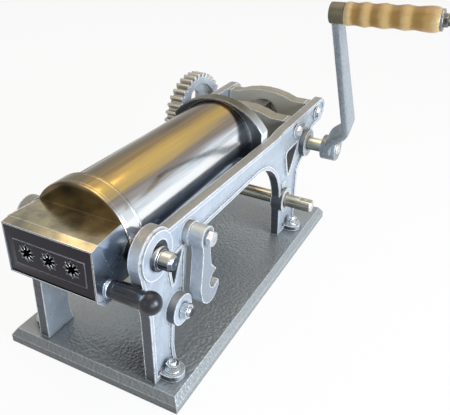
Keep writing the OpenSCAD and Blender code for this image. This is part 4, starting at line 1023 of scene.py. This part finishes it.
@dataclass
class TieRod:
    """The front tie rod between the frames, with a nut on each domed end."""

    y: float = 53.5
    z: float = 86.7
    rod_r: float = 8.0
    thread_r: float = 5.0
    thread_in: float = 10.0
    inner_x: tuple = (-62.0, 67.0)
    nut_x: tuple = (87.0, -82.0)
    nut_reach: float = 9.0
    nut_h: float = 7.5
    out: float = 3.0
    pitch: float = 1.5
    dome_h: float = 1.2

    def build(self) -> None:
        """Shows the rod with turned shoulders, its threaded ends and its nuts."""
        ends = [turned(drum(*self.inner_x, self.rod_r, 0.8, 0.8), place(0, self.y, self.z),
                       Axis.RIGHT.value, 64)]
        nuts = []
        for x, axis in zip(self.nut_x, (Axis.RIGHT, Axis.LEFT)):
            inside = place(x - axis.value[0][0] * self.thread_in, self.y, self.z)
            ends.append(thread_end(inside, axis.value, self.thread_r,
                                   self.nut_h + self.thread_in + self.out, self.pitch,
                                   self.dome_h))
            nuts.append(hex_head(place(x, self.y, self.z), axis.value, self.nut_reach, self.nut_h,
                                 self.thread_r))
        put("front_tie_rod_turned", joined(ends, 50), Finishes.PIN, Body.PRESS, "front_tie_rod")
        put("tie_rod_nuts_chamfered", joined(nuts, 24), Finishes.ZINC, Body.PRESS, "tie_rod_nuts")


@dataclass
class CrossBars:
    """The two cast bars that tie the frames round the rack, and their bolts."""

    bolt_y: tuple = (369.075, 446.967)
    bolt_z: float = 164.3
    head_x: tuple = (80.0, -75.0)
    head_reach: float = 7.5
    head_h: float = 5.3
    shank_r: float = 4.0
    shank_l: float = 38.0
    edge: float = 1.1

    def build(self) -> None:
        """Shows the bars with linished edges and chamfered bolt heads."""
        for node in ("front_cross_bar", "rear_cross_bar"):
            from_cad(node, Finishes.CAST_BAR, self.edge, 3)
        bolts = []
        for y in self.bolt_y:
            for x, axis in zip(self.head_x, (Axis.RIGHT, Axis.LEFT)):
                at = place(x, y, self.bolt_z)
                bolts.append(hex_head(at, axis.value, self.head_reach, self.head_h))
                bolts.append(turned(drum(-self.shank_l, 0.5, self.shank_r, 0.8, 0), at,
                                    axis.value, 32))
        put("cross_bar_bolts_chamfered", joined(bolts, 24), Finishes.ZINC, Body.PRESS,
            "cross_bar_bolts")


@dataclass
class BarrelGroup:
    """Barrel, rear flange and the cap with its trunnion pads."""

    axis_z: float = 168.3
    radius: float = 51.5
    wall: float = 2.0
    front: float = 18.075
    rear: float = 300.075
    cap_r: float = 57.2
    cap_front: float = 15.775
    cap_rear: float = 38.675
    groove: float = 0.45
    roof_z: float = 25.7
    pad_r: float = 11.0
    pad_x: tuple = (45.5, 57.5)
    pad_y: float = 24.7
    lathe_turns: int = 192

    def tube(self) -> Mesh:
        """The tube: a ring of rectangular section carried round, its lips rolled.

        Returns:
            The mesh.
        """
        inner = self.radius - self.wall
        rows = soft_profile([(self.front, inner, 0), (self.front, self.radius, 0.4),
                             (self.rear, self.radius, 0.7), (self.rear, inner, 0.5),
                             (self.rear - 3, inner, 0), (self.front, inner, 0)])[:-1]
        return turned(rows, place(0, 0, self.axis_z), Axis.REAR.value, self.lathe_turns, True)

    def hole(self, angle: Points) -> Points:
        """The web's hole: min(bore, roof / cos t), with t from straight up, solid over the roof."""
        return np.minimum(self.radius - self.wall, self.roof_z / np.maximum(np.cos(angle), 0.05))

    def cap(self) -> Mesh:
        """The cap: a collar with rolled, grooved rims round the tube, and the web in front of it.

        Returns:
            The mesh.
        """
        front, rear, r, groove = self.cap_front, self.cap_rear, self.cap_r, self.cap_r - self.groove
        rows = np.vstack([
            [[front, 0.0]],
            soft_profile([(front, r - 6, 0), (front, r, 1.5), (front + 3.4, r, 0.2),
                          (front + 3.9, groove, 0.2), (front + 4.5, r, 0.2),
                          (rear - 4.5, r, 0.2), (rear - 3.9, groove, 0.2), (rear - 3.4, r, 0.2),
                          (rear, r, 1.5), (rear, self.radius, 0.2)]),
            [[self.front, self.radius], [self.front, 0.0]]])
        return turned(rows, place(0, 0, self.axis_z), Axis.REAR.value, self.lathe_turns, True,
                      shape=lambda t, radius: np.where(radius == 0, self.hole(t), radius))

    def build(self) -> None:
        """Shows tube, cap, trunnion pads and flange."""
        put("barrel_tube", self.tube(), Finishes.BARREL, Body.PRESS, "barrel")
        put("nozzle_cap_collar", self.cap(), Finishes.BARREL, Body.PRESS, "nozzle_cap")
        pads = [turned(drum(*self.pad_x, self.pad_r, 0.4, 0.5), place(0, self.pad_y, self.axis_z),
                       axis.value, 64) for axis in (Axis.RIGHT, Axis.LEFT)]
        put("trunnion_pads", joined(pads), Finishes.PIN, Body.PRESS)
        from_cad("rear_flange", Finishes.FLANGE, 1.2, 3)


@dataclass
class Nozzle:
    """The sheet nozzle box, its die plate with three stars, and the fluted tilt handle."""

    front: float = -30.325
    die_front: float = -30.125
    axis_z: float = 168.3
    star_pitch: float = 26.0
    star_root: float = 4.6
    half_w: float = 50.75
    roof: tuple = (-20.925, 196.8)
    crease: tuple = (-3.025, 150.0)
    low: tuple = (-7.025, 130.9)
    roof_back: tuple = (47.6, 14.6, 196.8)
    mouth_z: tuple = (194.9, 140.9)
    bead_r: float = 0.5
    tongue_r: float = 11.2
    fin_half: float = 0.46
    fin_proud: float = 0.45
    fin_sunk: float = 0.25
    rays: int = 8
    knob_x: float = 52.9
    knob_y: float = -11.425
    knob_z: float = 145.0
    knob_l: float = 52.0
    base_r: float = 9.0
    ball_r: float = 11.0
    flutes: int = 8
    flute_deep: float = 1.1
    ring_x: float = 51.3

    def fin(self, middle: float, turn: float) -> Mesh:
        """One bent tongue's edge: a half-round ridge that runs out from the star and dies away.

        Its height is proud * (1 - s ^ 3 / 2) and its half width wide * (1 - 0.6 s), with s from
        the star's root to the tongue's end.

        Args:
            middle: the star's place across the plate.
            turn: the ridge's direction.

        Returns:
            The mesh.
        """
        s = np.array([0.0, 0.0, 0.15, 0.35, 0.55, 0.75, 0.9, 1.0, 1.0])
        size = np.array([0.0, 1, 1, 1, 1, 1, 1, 1, 0.0]) * (1 - 0.6 * s)
        t = np.linspace(0, FULL_TURN, 10, endpoint=False)
        inner = self.star_root - 0.6
        out = inner + (self.tongue_r - inner) * s
        side = size[:, None] * self.fin_half * np.cos(t)
        rise = size[:, None] * self.fin_proud * np.sin(t)
        x = middle + out[:, None] * math.sin(turn) + side * math.cos(turn)
        z = self.axis_z + out[:, None] * math.cos(turn) - side * math.sin(turn)
        y = self.die_front + self.fin_sunk - BOARD_MID - rise * (1 - 0.5 * s[:, None] ** 3)
        return grid_mesh(np.stack([x, y, z], axis=-1))

    def tongues(self) -> Mesh:
        """The bright edges of the bent tongues round each star, between its points.

        Returns:
            The mesh.
        """
        step = FULL_TURN / self.rays
        return joined([self.fin(at, (i + 0.5) * step)
                       for at in (-self.star_pitch, 0.0, self.star_pitch)
                       for i in range(self.rays)], 50)

    def bead(self, corners: list) -> Mesh:
        """A weld bead: point = path + r * (cos t * a + sin t * b), a and b square to its mean way.

        Args:
            corners: the points that it runs through, from the board's front edge.

        Returns:
            The mesh.
        """
        path = np.array([place(*p) for p in corners])
        at = np.concatenate([[0], np.cumsum(np.linalg.norm(np.diff(path, axis=0), axis=1))])
        s = np.linspace(0, at[-1], 24)
        line = np.stack([np.interp(s, at, path[:, k]) for k in range(3)], axis=1)
        line = np.vstack([line[:1], line, line[-1:]])
        way = (path[-1] - path[0]) / np.linalg.norm(path[-1] - path[0])
        a = np.cross(way, (0.31, 0.17, 0.93))
        a /= np.linalg.norm(a)
        b = np.cross(way, a)
        size = np.full(len(line), self.bead_r)
        size[[0, -1]] = 0
        t = np.linspace(0, FULL_TURN, 10, endpoint=False)
        ring = np.cos(t)[:, None] * a + np.sin(t)[:, None] * b
        return grid_mesh(line[:, None, :] + size[:, None, None] * ring)

    def seams(self) -> Mesh:
        """The polished weld beads along the box's folded edges.

        Returns:
            The beads in one mesh.
        """
        high, deep = self.mouth_z
        beads = []
        for side in (1, -1):
            w = side * self.half_w
            back = (side * self.roof_back[0], *self.roof_back[1:])
            beads += [
                self.bead([(w, *self.roof), (w, *self.crease), (w, *self.low)]),
                self.bead([(w, self.front + 0.4, high), (w, self.front + 0.4, deep)]),
                self.bead([(w, self.front + 0.6, high + 0.1), (w, *self.roof), back]),
                self.bead([(w, self.front + 0.4, deep), (w, *self.low)])]
        return joined(beads, 60)

    def knob(self) -> Mesh:
        """The tilt handle: a profile turned about X, fluted by cos(8 t), with a ball at its end.

        Its radius loses deep * max(0, cos(flutes * t)) ^ 3 where the neck runs.

        Returns:
            The mesh.
        """
        neck = self.knob_l - self.ball_r
        ball = np.radians(np.linspace(128, 0, 20))
        r = self.base_r
        rows = np.vstack([
            [[0, 0]],
            soft_profile([(0, r - 1.2, 0), (0.2, r, 0.8), (3, r, 0.4), (4, r - 0.7, 0.4),
                          (5, r, 0.4)]),
            np.stack([np.linspace(6, neck * 0.62, 14), np.full(14, r)], axis=1),
            np.stack([neck + self.ball_r * np.cos(ball), self.ball_r * np.sin(ball)], axis=1)])
        x = rows[:, :1]
        fade = np.clip((x - 5) / 2, 0, 1) * np.clip((neck * 0.66 - x) / 6, 0, 1)
        return turned(rows, place(self.knob_x, self.knob_y, self.knob_z), Axis.RIGHT.value, 128,
                      sharp=60, shape=lambda t, radius: radius - self.flute_deep * fade
                      * np.maximum(0, np.cos(self.flutes * t)) ** 3)

    def build(self) -> None:
        """Shows box, die plate, weld beads, tongues, handle and its base ring."""
        from_cad("nozzle_box", Finishes.SHEET, 0.5)
        from_cad("die_plate", Finishes.DIE, 0.3)
        put("nozzle_seams", self.seams(), Finishes.CUT_EDGE, Body.PRESS)
        put("star_tongues", self.tongues(), Finishes.CUT_EDGE, Body.PRESS)
        put("tilt_handle_fluted", self.knob(), Finishes.BAKELITE, Body.PRESS, "tilt_handle")
        ring = flat_washer(place(self.ring_x, self.knob_y, self.knob_z), Axis.RIGHT.value, 4.0,
                           self.base_r, 1.6)
        put("handle_ring", ring, Finishes.ZINC, Body.PRESS, "handle_washer")


@dataclass
class Trunnions:
    """The two pivot pins of the nozzle end, and the latch that hangs beside the right one."""

    y: float = 21.5
    z: float = 168.3
    radius: float = 9.0
    flange_r: float = 12.5
    start: float = 57.5
    right_flange: float = 61.5
    collar: tuple = (81.9, 86.2)
    right_end: float = 100.0
    left_flange: float = 61.7
    left_end: float = 77.5
    latch_y: float = 81.3
    latch_z: float = 161.5
    bolt_x: float = 100.3
    bolt_reach: float = 8.3
    bolt_h: float = 6.3
    shank_x: float = 67.0
    shank_r: float = 5.0

    def pin(self, axis: Axis, flange: float, rest: list) -> Mesh:
        """A pin turned about X, from its flange against the cap to its end.

        Args:
            axis: the side that it points to.
            flange: where its flange ends.
            rest: the corners of its profile past the flange.

        Returns:
            The mesh.
        """
        corners = [(self.start, 0, 0), (self.start, self.flange_r, 0.4),
                   (flange, self.flange_r, 0.6), (flange, self.radius, 0.5), *rest]
        return turned(soft_profile(corners), place(0, self.y, self.z), axis.value)

    def build(self) -> None:
        """Shows both pins, and the latch with its bolt."""
        r, near, far, end = self.radius, *self.collar, self.right_end
        right = self.pin(Axis.RIGHT, self.right_flange, [
            (near, r, 0.3), (near, self.flange_r, 0.5), (far, self.flange_r, 1.4), (far, r, 0.4),
            (end - 3.2, r, 0.3), (end, r - 2.8, 0.3), (end, 2.0, 0.3), (end - 1.2, 0, 0)])
        put("right_trunnion_turned", right, Finishes.PIN, Body.PRESS, "right_trunnion_pin")
        end = self.left_end
        left = self.pin(Axis.LEFT, self.left_flange, [
            (end - 1.2, r, 0.3), (end, r - 1.2, 0.3), (end, 0, 0)])
        put("left_trunnion_turned", left, Finishes.PIN, Body.PRESS, "left_trunnion_pin")
        from_cad("latch_hook", Finishes.CAST_SMALL, 1.6, 3)
        right_way = Axis.RIGHT.value
        bolt = [hex_head(place(self.bolt_x, self.latch_y, self.latch_z), right_way,
                         self.bolt_reach, self.bolt_h, washer=0.8),
                turned(drum(self.shank_x, self.bolt_x + 0.3, self.shank_r, 0.6, 0),
                       place(0, self.latch_y, self.latch_z), right_way, 40)]
        put("latch_bolt_chamfered", joined(bolt, 24), Finishes.ZINC, Body.PRESS, "latch_bolt")


@dataclass
class DriveTrain:
    """The gears, shafts, keys, collars, rack and piston behind and under the barrel."""

    shaft_r: float = 9.0
    seat_r: float = 8.8
    chamfer: float = 1.2
    flat_z: float = 7.4
    dimple_r: float = 1.5
    dimple_deep: float = 1.1
    edges: tuple = (
        ("main_gear", Finishes.GEAR, 0.5), ("lay_pinion", Finishes.GEAR, 0.4),
        ("rack_pinion", Finishes.CUT, 0.4), ("rack", Finishes.CUT, 0.4),
        ("drive_collar", Finishes.SHAFT, 0.5), ("lay_collar", Finishes.SHAFT, 0.5),
        ("drive_bushes", Finishes.BRONZE, 0.0), ("layshaft_bushes", Finishes.BRONZE, 0.0),
        ("drive_keys", Finishes.CUT, 0.3), ("lay_key", Finishes.CUT, 0.3),
        ("drive_collar_screw", Finishes.BLACK, 0.3), ("lay_collar_screw", Finishes.BLACK, 0.3),
        ("piston_disc", Finishes.PISTON, 0.5), ("piston_seal", Finishes.SEAL, 0.4),
        ("piston_washer", Finishes.ZINC, 0.4), ("piston_nut", Finishes.ZINC, 0.6),
        ("handle_stud", Finishes.ZINC, 0.3),
    )
    shafts: tuple = (
        ("drive_shaft", (-120.0, 108.0, 130.0), 405.487, 133.98, 0.0),
        ("layshaft", (-120.0, 85.0, 122.0), 336.416, 73.512, 18.0),
    )

    def filed(self, near: Points, flat: float, angle: Points, radius: Points) -> Points:
        """Cuts a flat and a dimple into turned radii.

        On the flat the radius is min(r, height / sin t). The dimple takes off
        deep * max(0, 1 - (d / r) ^ 2), with d the distance from its middle.

        Args:
            near: how far each row is from the shaft's end.
            flat: the flat's length.
            angle: the angles of the grid.
            radius: its radii.

        Returns:
            The radii that are left.
        """
        up = np.sin(angle)
        cut = np.minimum(radius, np.where(up > 0.1, self.flat_z / np.maximum(up, 1e-3), radius))
        aside = np.where(up > 0, self.seat_r * np.cos(angle), 99.0)
        d = np.sqrt((near - flat / 2) ** 2 + aside ** 2)
        cut = cut - self.dimple_deep * np.maximum(0, 1 - (d / self.dimple_r) ** 2)
        return np.where(near <= flat, cut, radius)

    def shaft(self, steps: tuple, y: float, z: float, flat: float) -> Mesh:
        """A turned shaft, with a filed flat on top near its end and a drilled dimple in it.

        Args:
            steps: where it starts, where its seat starts and where it ends.
            y: its axis, from the board's front edge.
            z: its axis's height.
            flat: the flat's length, or 0 for none.

        Returns:
            The mesh.
        """
        start, seat, end = steps
        fine = np.arange(end - flat - 0.01, end - 1.3, 0.5) if flat else np.array([end - 4])
        along = np.concatenate([
            [start, start, start + self.chamfer], np.linspace(start + 3, seat, 20), [seat],
            np.linspace(seat + 0.01, end - max(flat, 5) - 0.3, 4), fine,
            [end - self.chamfer, end, end]])
        radius = np.where(along < seat + 0.005, self.shaft_r, self.seat_r)
        radius[[0, -1]] = 0.0
        radius[1], radius[-2] = self.shaft_r - self.chamfer, self.seat_r - self.chamfer
        near = (end - along)[:, None]
        shape = (lambda angle, r: self.filed(near, flat, angle, r)) if flat else None
        return turned(np.stack([along, radius], axis=1), place(0, y, z), Axis.RIGHT.value, 160,
                      sharp=30, shape=shape)

    def build(self) -> None:
        """Shows each machined part with its own edge break, and the two shafts."""
        for node, finish, edge in self.edges:
            from_cad(node, finish, edge)
        for node, *sizes in self.shafts:
            put(f"{node}_turned", self.shaft(*sizes), Finishes.SHAFT, body_of(node), node)


@dataclass
class Crank:
    """The cranked arm with its hub and its top boss."""

    shaft_y: float = 405.487
    shaft_z: float = 133.98
    lean: float = math.radians(31.9)
    reach: float = 248.0
    hub: tuple = (108.0, 130.0)
    hub_r: float = 17.0
    seat_r: float = 8.8
    low_x: float = 119.0
    step: float = 29.0
    thick: float = 9.5
    bend: tuple = (12.0, 62.0)
    settle: float = 2.0
    foot_half: float = 16.6
    top_half: float = 8.6
    squareness: float = 0.34
    boss: tuple = (138.85, 154.85)
    boss_r: float = 11.0
    cant: float = math.radians(2.8)
    face_proud: float = 0.12

    def along(self, s: Points) -> tuple[Points, Points]:
        """Where the arm's middle lies: x eases by half a cosine over the bend, then settles inward.

        Args:
            s: places along the arm.

        Returns:
            The x of the middle, and its slope.
        """
        low, high = self.bend
        share = np.clip((s - low) / (high - low), 0, 1)
        x = self.low_x + self.step * (1 - np.cos(np.pi * share)) / 2
        x = x - self.settle * np.maximum(0, s - high) / (self.reach - high)
        return x, self.step * np.sin(np.pi * share) * np.pi / 2 / (high - low)

    def arm(self) -> Mesh:
        """Sweeps a rounded slab up the arm, with a superellipse for its section.

        Width falls from foot to top in a straight line and thickness follows the slope. The
        section is |a / width| ^ 5.9 + |b / thickness| ^ 5.9 = 1.

        Returns:
            The mesh.
        """
        low, high = self.bend
        s = np.concatenate([[2.0], np.linspace(2.0, low, 5), np.linspace(low + 1, high + 3, 26),
                            np.linspace(72, self.reach, 30), [self.reach]])
        x, slope = self.along(s)
        share = np.clip((s - self.hub_r) / (self.reach - self.hub_r), 0, 1)
        half = self.foot_half + (self.top_half - self.foot_half) * share
        full = 1.06 * self.thick / 2 * np.sqrt(1 + slope ** 2)
        ends = np.ones_like(s)
        ends[[0, -1]] = 0.0
        t = np.linspace(0, FULL_TURN, 48, endpoint=False)
        a, b = (np.sign(w) * np.abs(w) ** self.squareness for w in (np.cos(t), np.sin(t)))
        across = (ends * half)[:, None] * a
        px = x[:, None] + (ends * full)[:, None] * b
        y = self.shaft_y + across * math.cos(self.lean) - s[:, None] * math.sin(self.lean)
        z = self.shaft_z + across * math.sin(self.lean) + s[:, None] * math.cos(self.lean)
        return grid_mesh(np.stack([px, y - BOARD_MID, z], axis=-1))

    def hub_mesh(self) -> Mesh:
        """The hub: a ring turned about X, bored for the shaft, its outer lip broken by a chamfer.

        Returns:
            The mesh.
        """
        x0, x1 = self.hub
        rows = soft_profile([(x0, self.seat_r, 0), (x0, self.hub_r, 1.4), (x1, self.hub_r, 1.8),
                             (x1, self.seat_r + 1.0, 0.3), (x1 - 0.9, self.seat_r, 0.2),
                             (x0 + 1, self.seat_r, 0)])
        return turned(rows, place(0, self.shaft_y, self.shaft_z), Axis.RIGHT.value, ring=True)

    def boss_mesh(self) -> Mesh:
        """The top boss, turned about the canted spindle's axis.

        Returns:
            The mesh.
        """
        at = place(self.boss[0], self.shaft_y - self.reach * math.sin(self.lean),
                   self.shaft_z + self.reach * math.cos(self.lean))
        rows = drum(0, self.boss[1] - self.boss[0], self.boss_r, 1.6, 1.4)
        return turned(rows, at, canted(self.cant), 80)

    def face(self) -> Mesh:
        """The hub's faced end: a thin ring that stands a hair proud.

        Returns:
            The mesh.
        """
        inside, proud = self.hub[1] - 1.0, self.hub[1] + self.face_proud
        rows = soft_profile([(inside, self.seat_r + 1.4, 0), (inside, self.hub_r - 2.2, 0),
                             (proud, self.hub_r - 2.6, 0.4), (proud, self.seat_r + 1.6, 0.4)], 3)
        return turned(rows, place(0, self.shaft_y, self.shaft_z), Axis.RIGHT.value, ring=True)

    def build(self) -> None:
        """Shows the painted arm and hub, the boss and the hub's bare face."""
        put("crank_arm_cast", joined([self.arm(), self.hub_mesh()], 45), Finishes.CRANK,
            Body.DRIVE, "crank_arm")
        put("crank_top_boss", self.boss_mesh(), Finishes.BOSS, Body.DRIVE)
        put("crank_hub_faced", self.face(), Finishes.FACED, Body.DRIVE)


@dataclass
class Grip:
    """The turned wooden grip on its canted spindle, with washer and domed nut."""

    start: tuple = (138.85, 274.435, 344.52)
    cant: float = math.radians(2.8)
    skip: float = 16.3
    length: float = 95.0
    gap: float = 0.3
    radius: float = 12.8
    bore: float = 5.06
    spindle_r: float = 5.0
    washer_r: float = 10.8
    washer_t: float = 2.0
    dome_r: float = 6.8
    dome_h: float = 8.0
    crests: tuple = (
        (0.0, 0.88), (0.02, 0.93), (0.05, 0.95), (0.085, 0.90), (0.125, 0.87), (0.17, 0.93),
        (0.215, 1.0), (0.26, 0.93), (0.30, 0.87), (0.36, 0.93), (0.42, 1.0), (0.475, 0.93),
        (0.53, 0.87), (0.59, 0.93), (0.645, 1.0), (0.695, 0.94), (0.745, 0.88), (0.82, 0.95),
        (0.90, 1.0), (0.95, 0.98), (0.98, 0.93), (1.0, 0.82))

    def out(self, along: float) -> Points:
        """The point on the spindle's axis that is this far from its start."""
        return place(*self.start) + along * np.array(canted(self.cant)[0])

    def wood(self) -> Mesh:
        """The grip: straight lines through the crests and hollows, smoothed by a moving mean.

        Returns:
            The mesh, with each vertex's share of the length as `along`.
        """
        places, radii = np.array(self.crests).T
        share = np.linspace(0, 1, 120)
        spread = np.interp(share, places, radii)
        smooth = np.convolve(np.pad(spread, 2, mode="edge"), np.ones(5) / 5, mode="valid")
        smooth[[0, -1]] = spread[[0, -1]]
        rows = np.vstack([[[0, self.bore], [0, self.radius * 0.76]],
                          np.stack([share * self.length, smooth * self.radius], axis=1),
                          [[self.length, self.bore]]])
        mesh = turned(rows, self.out(self.skip), canted(self.cant), ring=True, sharp=50)
        flat = np.empty(len(mesh.vertices) * 3)
        mesh.vertices.foreach_get("co", flat)
        along = (flat.reshape(-1, 3) / MM - self.out(self.skip)) @ np.array(
            canted(self.cant)[0]) / self.length
        mesh.attributes.new("along", "FLOAT", "POINT").data.foreach_set("value", along)
        return mesh

    def nut(self, at: Points) -> Mesh:
        """The domed nut: a short hexagon that rounds over into a quarter ellipse.

        Args:
            at: the middle of its foot.

        Returns:
            The mesh.
        """
        turn = np.linspace(0, math.pi / 2, 9)
        half, side = self.dome_h / 2, self.dome_r * 0.9
        dome = np.stack([half + half * np.sin(turn), (self.dome_r - 1) * np.cos(turn)], axis=1)
        rows = np.vstack([[[0.0, 0.0], [0.0, side], [half, side]], dome])
        apothem = self.dome_r * math.cos(math.pi / 6)
        return turned(rows, at, canted(self.cant), 72, sharp=30,
                      shape=lambda t, radius: np.where(radius == side, hexagon(t, apothem), radius))

    def build(self) -> None:
        """Shows the spindle, grip, washer and nut."""
        frame = canted(self.cant)
        seat = self.skip + self.length + self.gap
        end = seat + self.washer_t
        rod = turned(drum(1.0, end + self.dome_h / 2, self.spindle_r, 0.8, 0.5), self.out(0),
                     frame, 48)
        put("grip_spindle_turned", rod, Finishes.PIN, Body.DRIVE, "grip_spindle")
        put("wooden_grip_turned", self.wood(), Finishes.WOOD, Body.GRIP, "wooden_grip")
        washer = flat_washer(self.out(seat), frame, self.spindle_r, self.washer_r, self.washer_t)
        put("grip_washer_rolled", washer, Finishes.GREY_ZINC, Body.DRIVE, "grip_washer")
        put("grip_nut_domed", self.nut(self.out(end)), Finishes.NICKEL, Body.DRIVE,
            "grip_dome_nut")


@dataclass
class Studio:
    """A plain pale floor, soft lights and the camera at the photograph's angle."""

    eye: tuple = (0.327255, -0.5508455, 0.471811)
    yaw: float = 0.469362
    pitch: float = 0.529283
    roll: float = -0.021693
    lens: float = 46.279
    sensor: float = 36.0
    floor_half: float = 6.0
    paper: str = "#F4F4F4"
    paper_glow: float = 0.92
    sky: str = "#6A6D72"
    look_at: tuple = (0.02, 0.0, 0.12)
    lamps: tuple = (
        ("key_right", (1.7, -0.2, 0.6), 0.9, 42.0, "#EEF5FF"),
        ("top_warm", (-0.1, 0.1, 1.6), 1.2, 9.0, "#FFE4BE"),
        ("key_low", (1.3, -1.05, 0.4), 0.7, 9.0, "#E6F0FF"),
        ("fill_front", (-0.5, -1.7, 0.7), 1.0, 2.0, "#FFF6EA"),
    )

    def camera(self) -> None:
        """Sets the camera from yaw, pitch and roll: its columns are right, up and back."""
        cy, sy, cp, sp = (math.cos(self.yaw), math.sin(self.yaw), math.cos(self.pitch),
                          math.sin(self.pitch))
        forward = np.array([-sy * cp, cy * cp, -sp])
        flat = np.array([cy, sy, 0.0])
        down = np.cross(forward, flat)
        right = math.cos(self.roll) * flat + math.sin(self.roll) * down
        down = -math.sin(self.roll) * flat + math.cos(self.roll) * down
        data = bpy.data.cameras.new("camera")
        data.lens = self.lens
        data.sensor_width = self.sensor
        data.sensor_fit = "HORIZONTAL"
        data.clip_start = 0.01
        camera = bpy.data.objects.new("camera", data)
        columns = np.stack([right, -down, -forward, np.array(self.eye)], axis=1)
        camera.matrix_world = Matrix([*columns.tolist(), [0, 0, 0, 1]])
        bpy.context.scene.collection.objects.link(camera)
        bpy.context.scene.camera = camera

    def light(self, name: str, at: tuple, size: float, watts: float, colour: str) -> None:
        """Hangs one square area light that looks at the barrel.

        Args:
            name: the light's name.
            at: where it hangs, in metres.
            size: its side.
            watts: its power.
            colour: its colour.
        """
        data = bpy.data.lights.new(name, "AREA")
        data.size = size
        data.energy = watts
        data.color = linear(colour)[:3]
        lamp = bpy.data.objects.new(name, data)
        turn = (Vector(self.look_at) - Vector(at)).to_track_quat("-Z", "Y")
        lamp.matrix_world = Matrix.Translation(at) @ turn.to_matrix().to_4x4()
        bpy.context.scene.collection.objects.link(lamp)

    def seen_white(self, tree: Tree) -> Socket:
        """1 for rays from the camera, from mirrors and through glass, else 0.

        Args:
            tree: the tree it goes into.

        Returns:
            The share.
        """
        path = add(tree, "LightPath").node.outputs
        share = path["Is Camera Ray"]
        for ray in ("Is Glossy Ray", "Is Transmission Ray"):
            share = add(tree, "Math", {0: share, 1: path[ray]}, operation="MAXIMUM")
        return share

    def world(self) -> None:
        """A world that is white to look at and lights the rest with a soft grey."""
        world = bpy.data.worlds.new("world")
        bpy.context.scene.world = world
        world.use_nodes = True
        tree = world.node_tree
        mix = add(tree, "Mix", {0: self.seen_white(tree), 6: linear(self.sky), 7: linear(WHITE)},
                  2, data_type="RGBA")
        tree.links.new(mix, tree.nodes["Background"].inputs["Color"])

    def floor(self) -> None:
        """A plane that glows white to the camera but still takes part of the object's shadow."""
        side = self.floor_half
        mesh = bpy.data.meshes.new("floor")
        mesh.from_pydata([(-side, -side, 0), (side, -side, 0), (side, side, 0), (-side, side, 0)],
                         [], [(0, 1, 2, 3)])
        floor = bpy.data.objects.new("floor", mesh)
        bpy.context.scene.collection.objects.link(floor)
        paper = bpy.data.materials.new("white_paper")
        paper.use_nodes = True
        tree = paper.node_tree
        matt = tree.nodes["Principled BSDF"]
        matt.inputs["Base Color"].default_value = linear(self.paper)
        matt.inputs["Roughness"].default_value = 0.9
        glow = add(tree, "Emission", {"Color": linear(WHITE), "Strength": 1.0})
        share = add(tree, "Math", {0: self.seen_white(tree), 1: self.paper_glow},
                    operation="MULTIPLY")
        mix = add(tree, "MixShader", {0: share, 1: matt.outputs["BSDF"], 2: glow})
        tree.links.new(mix, tree.nodes["Material Output"].inputs["Surface"])
        mesh.materials.append(paper)

    def build(self) -> None:
        """Sets camera, lights, world and floor."""
        self.camera()
        for lamp in self.lamps:
            self.light(*lamp)
        self.world()
        self.floor()
        bpy.context.scene.view_settings.view_transform = "Standard"


def main() -> None:
    logging.basicConfig(level=logging.INFO, format="%(name)s: %(message)s")
    for group in (Board(), SideFrames(), TieRod(), CrossBars(), BarrelGroup(), Nozzle(),
                  Trunnions(), DriveTrain(), Crank(), Grip(), Studio()):
        group.build()
        LOG.info("built %s", type(group).__name__)


if __name__ == "__main__":
    main()
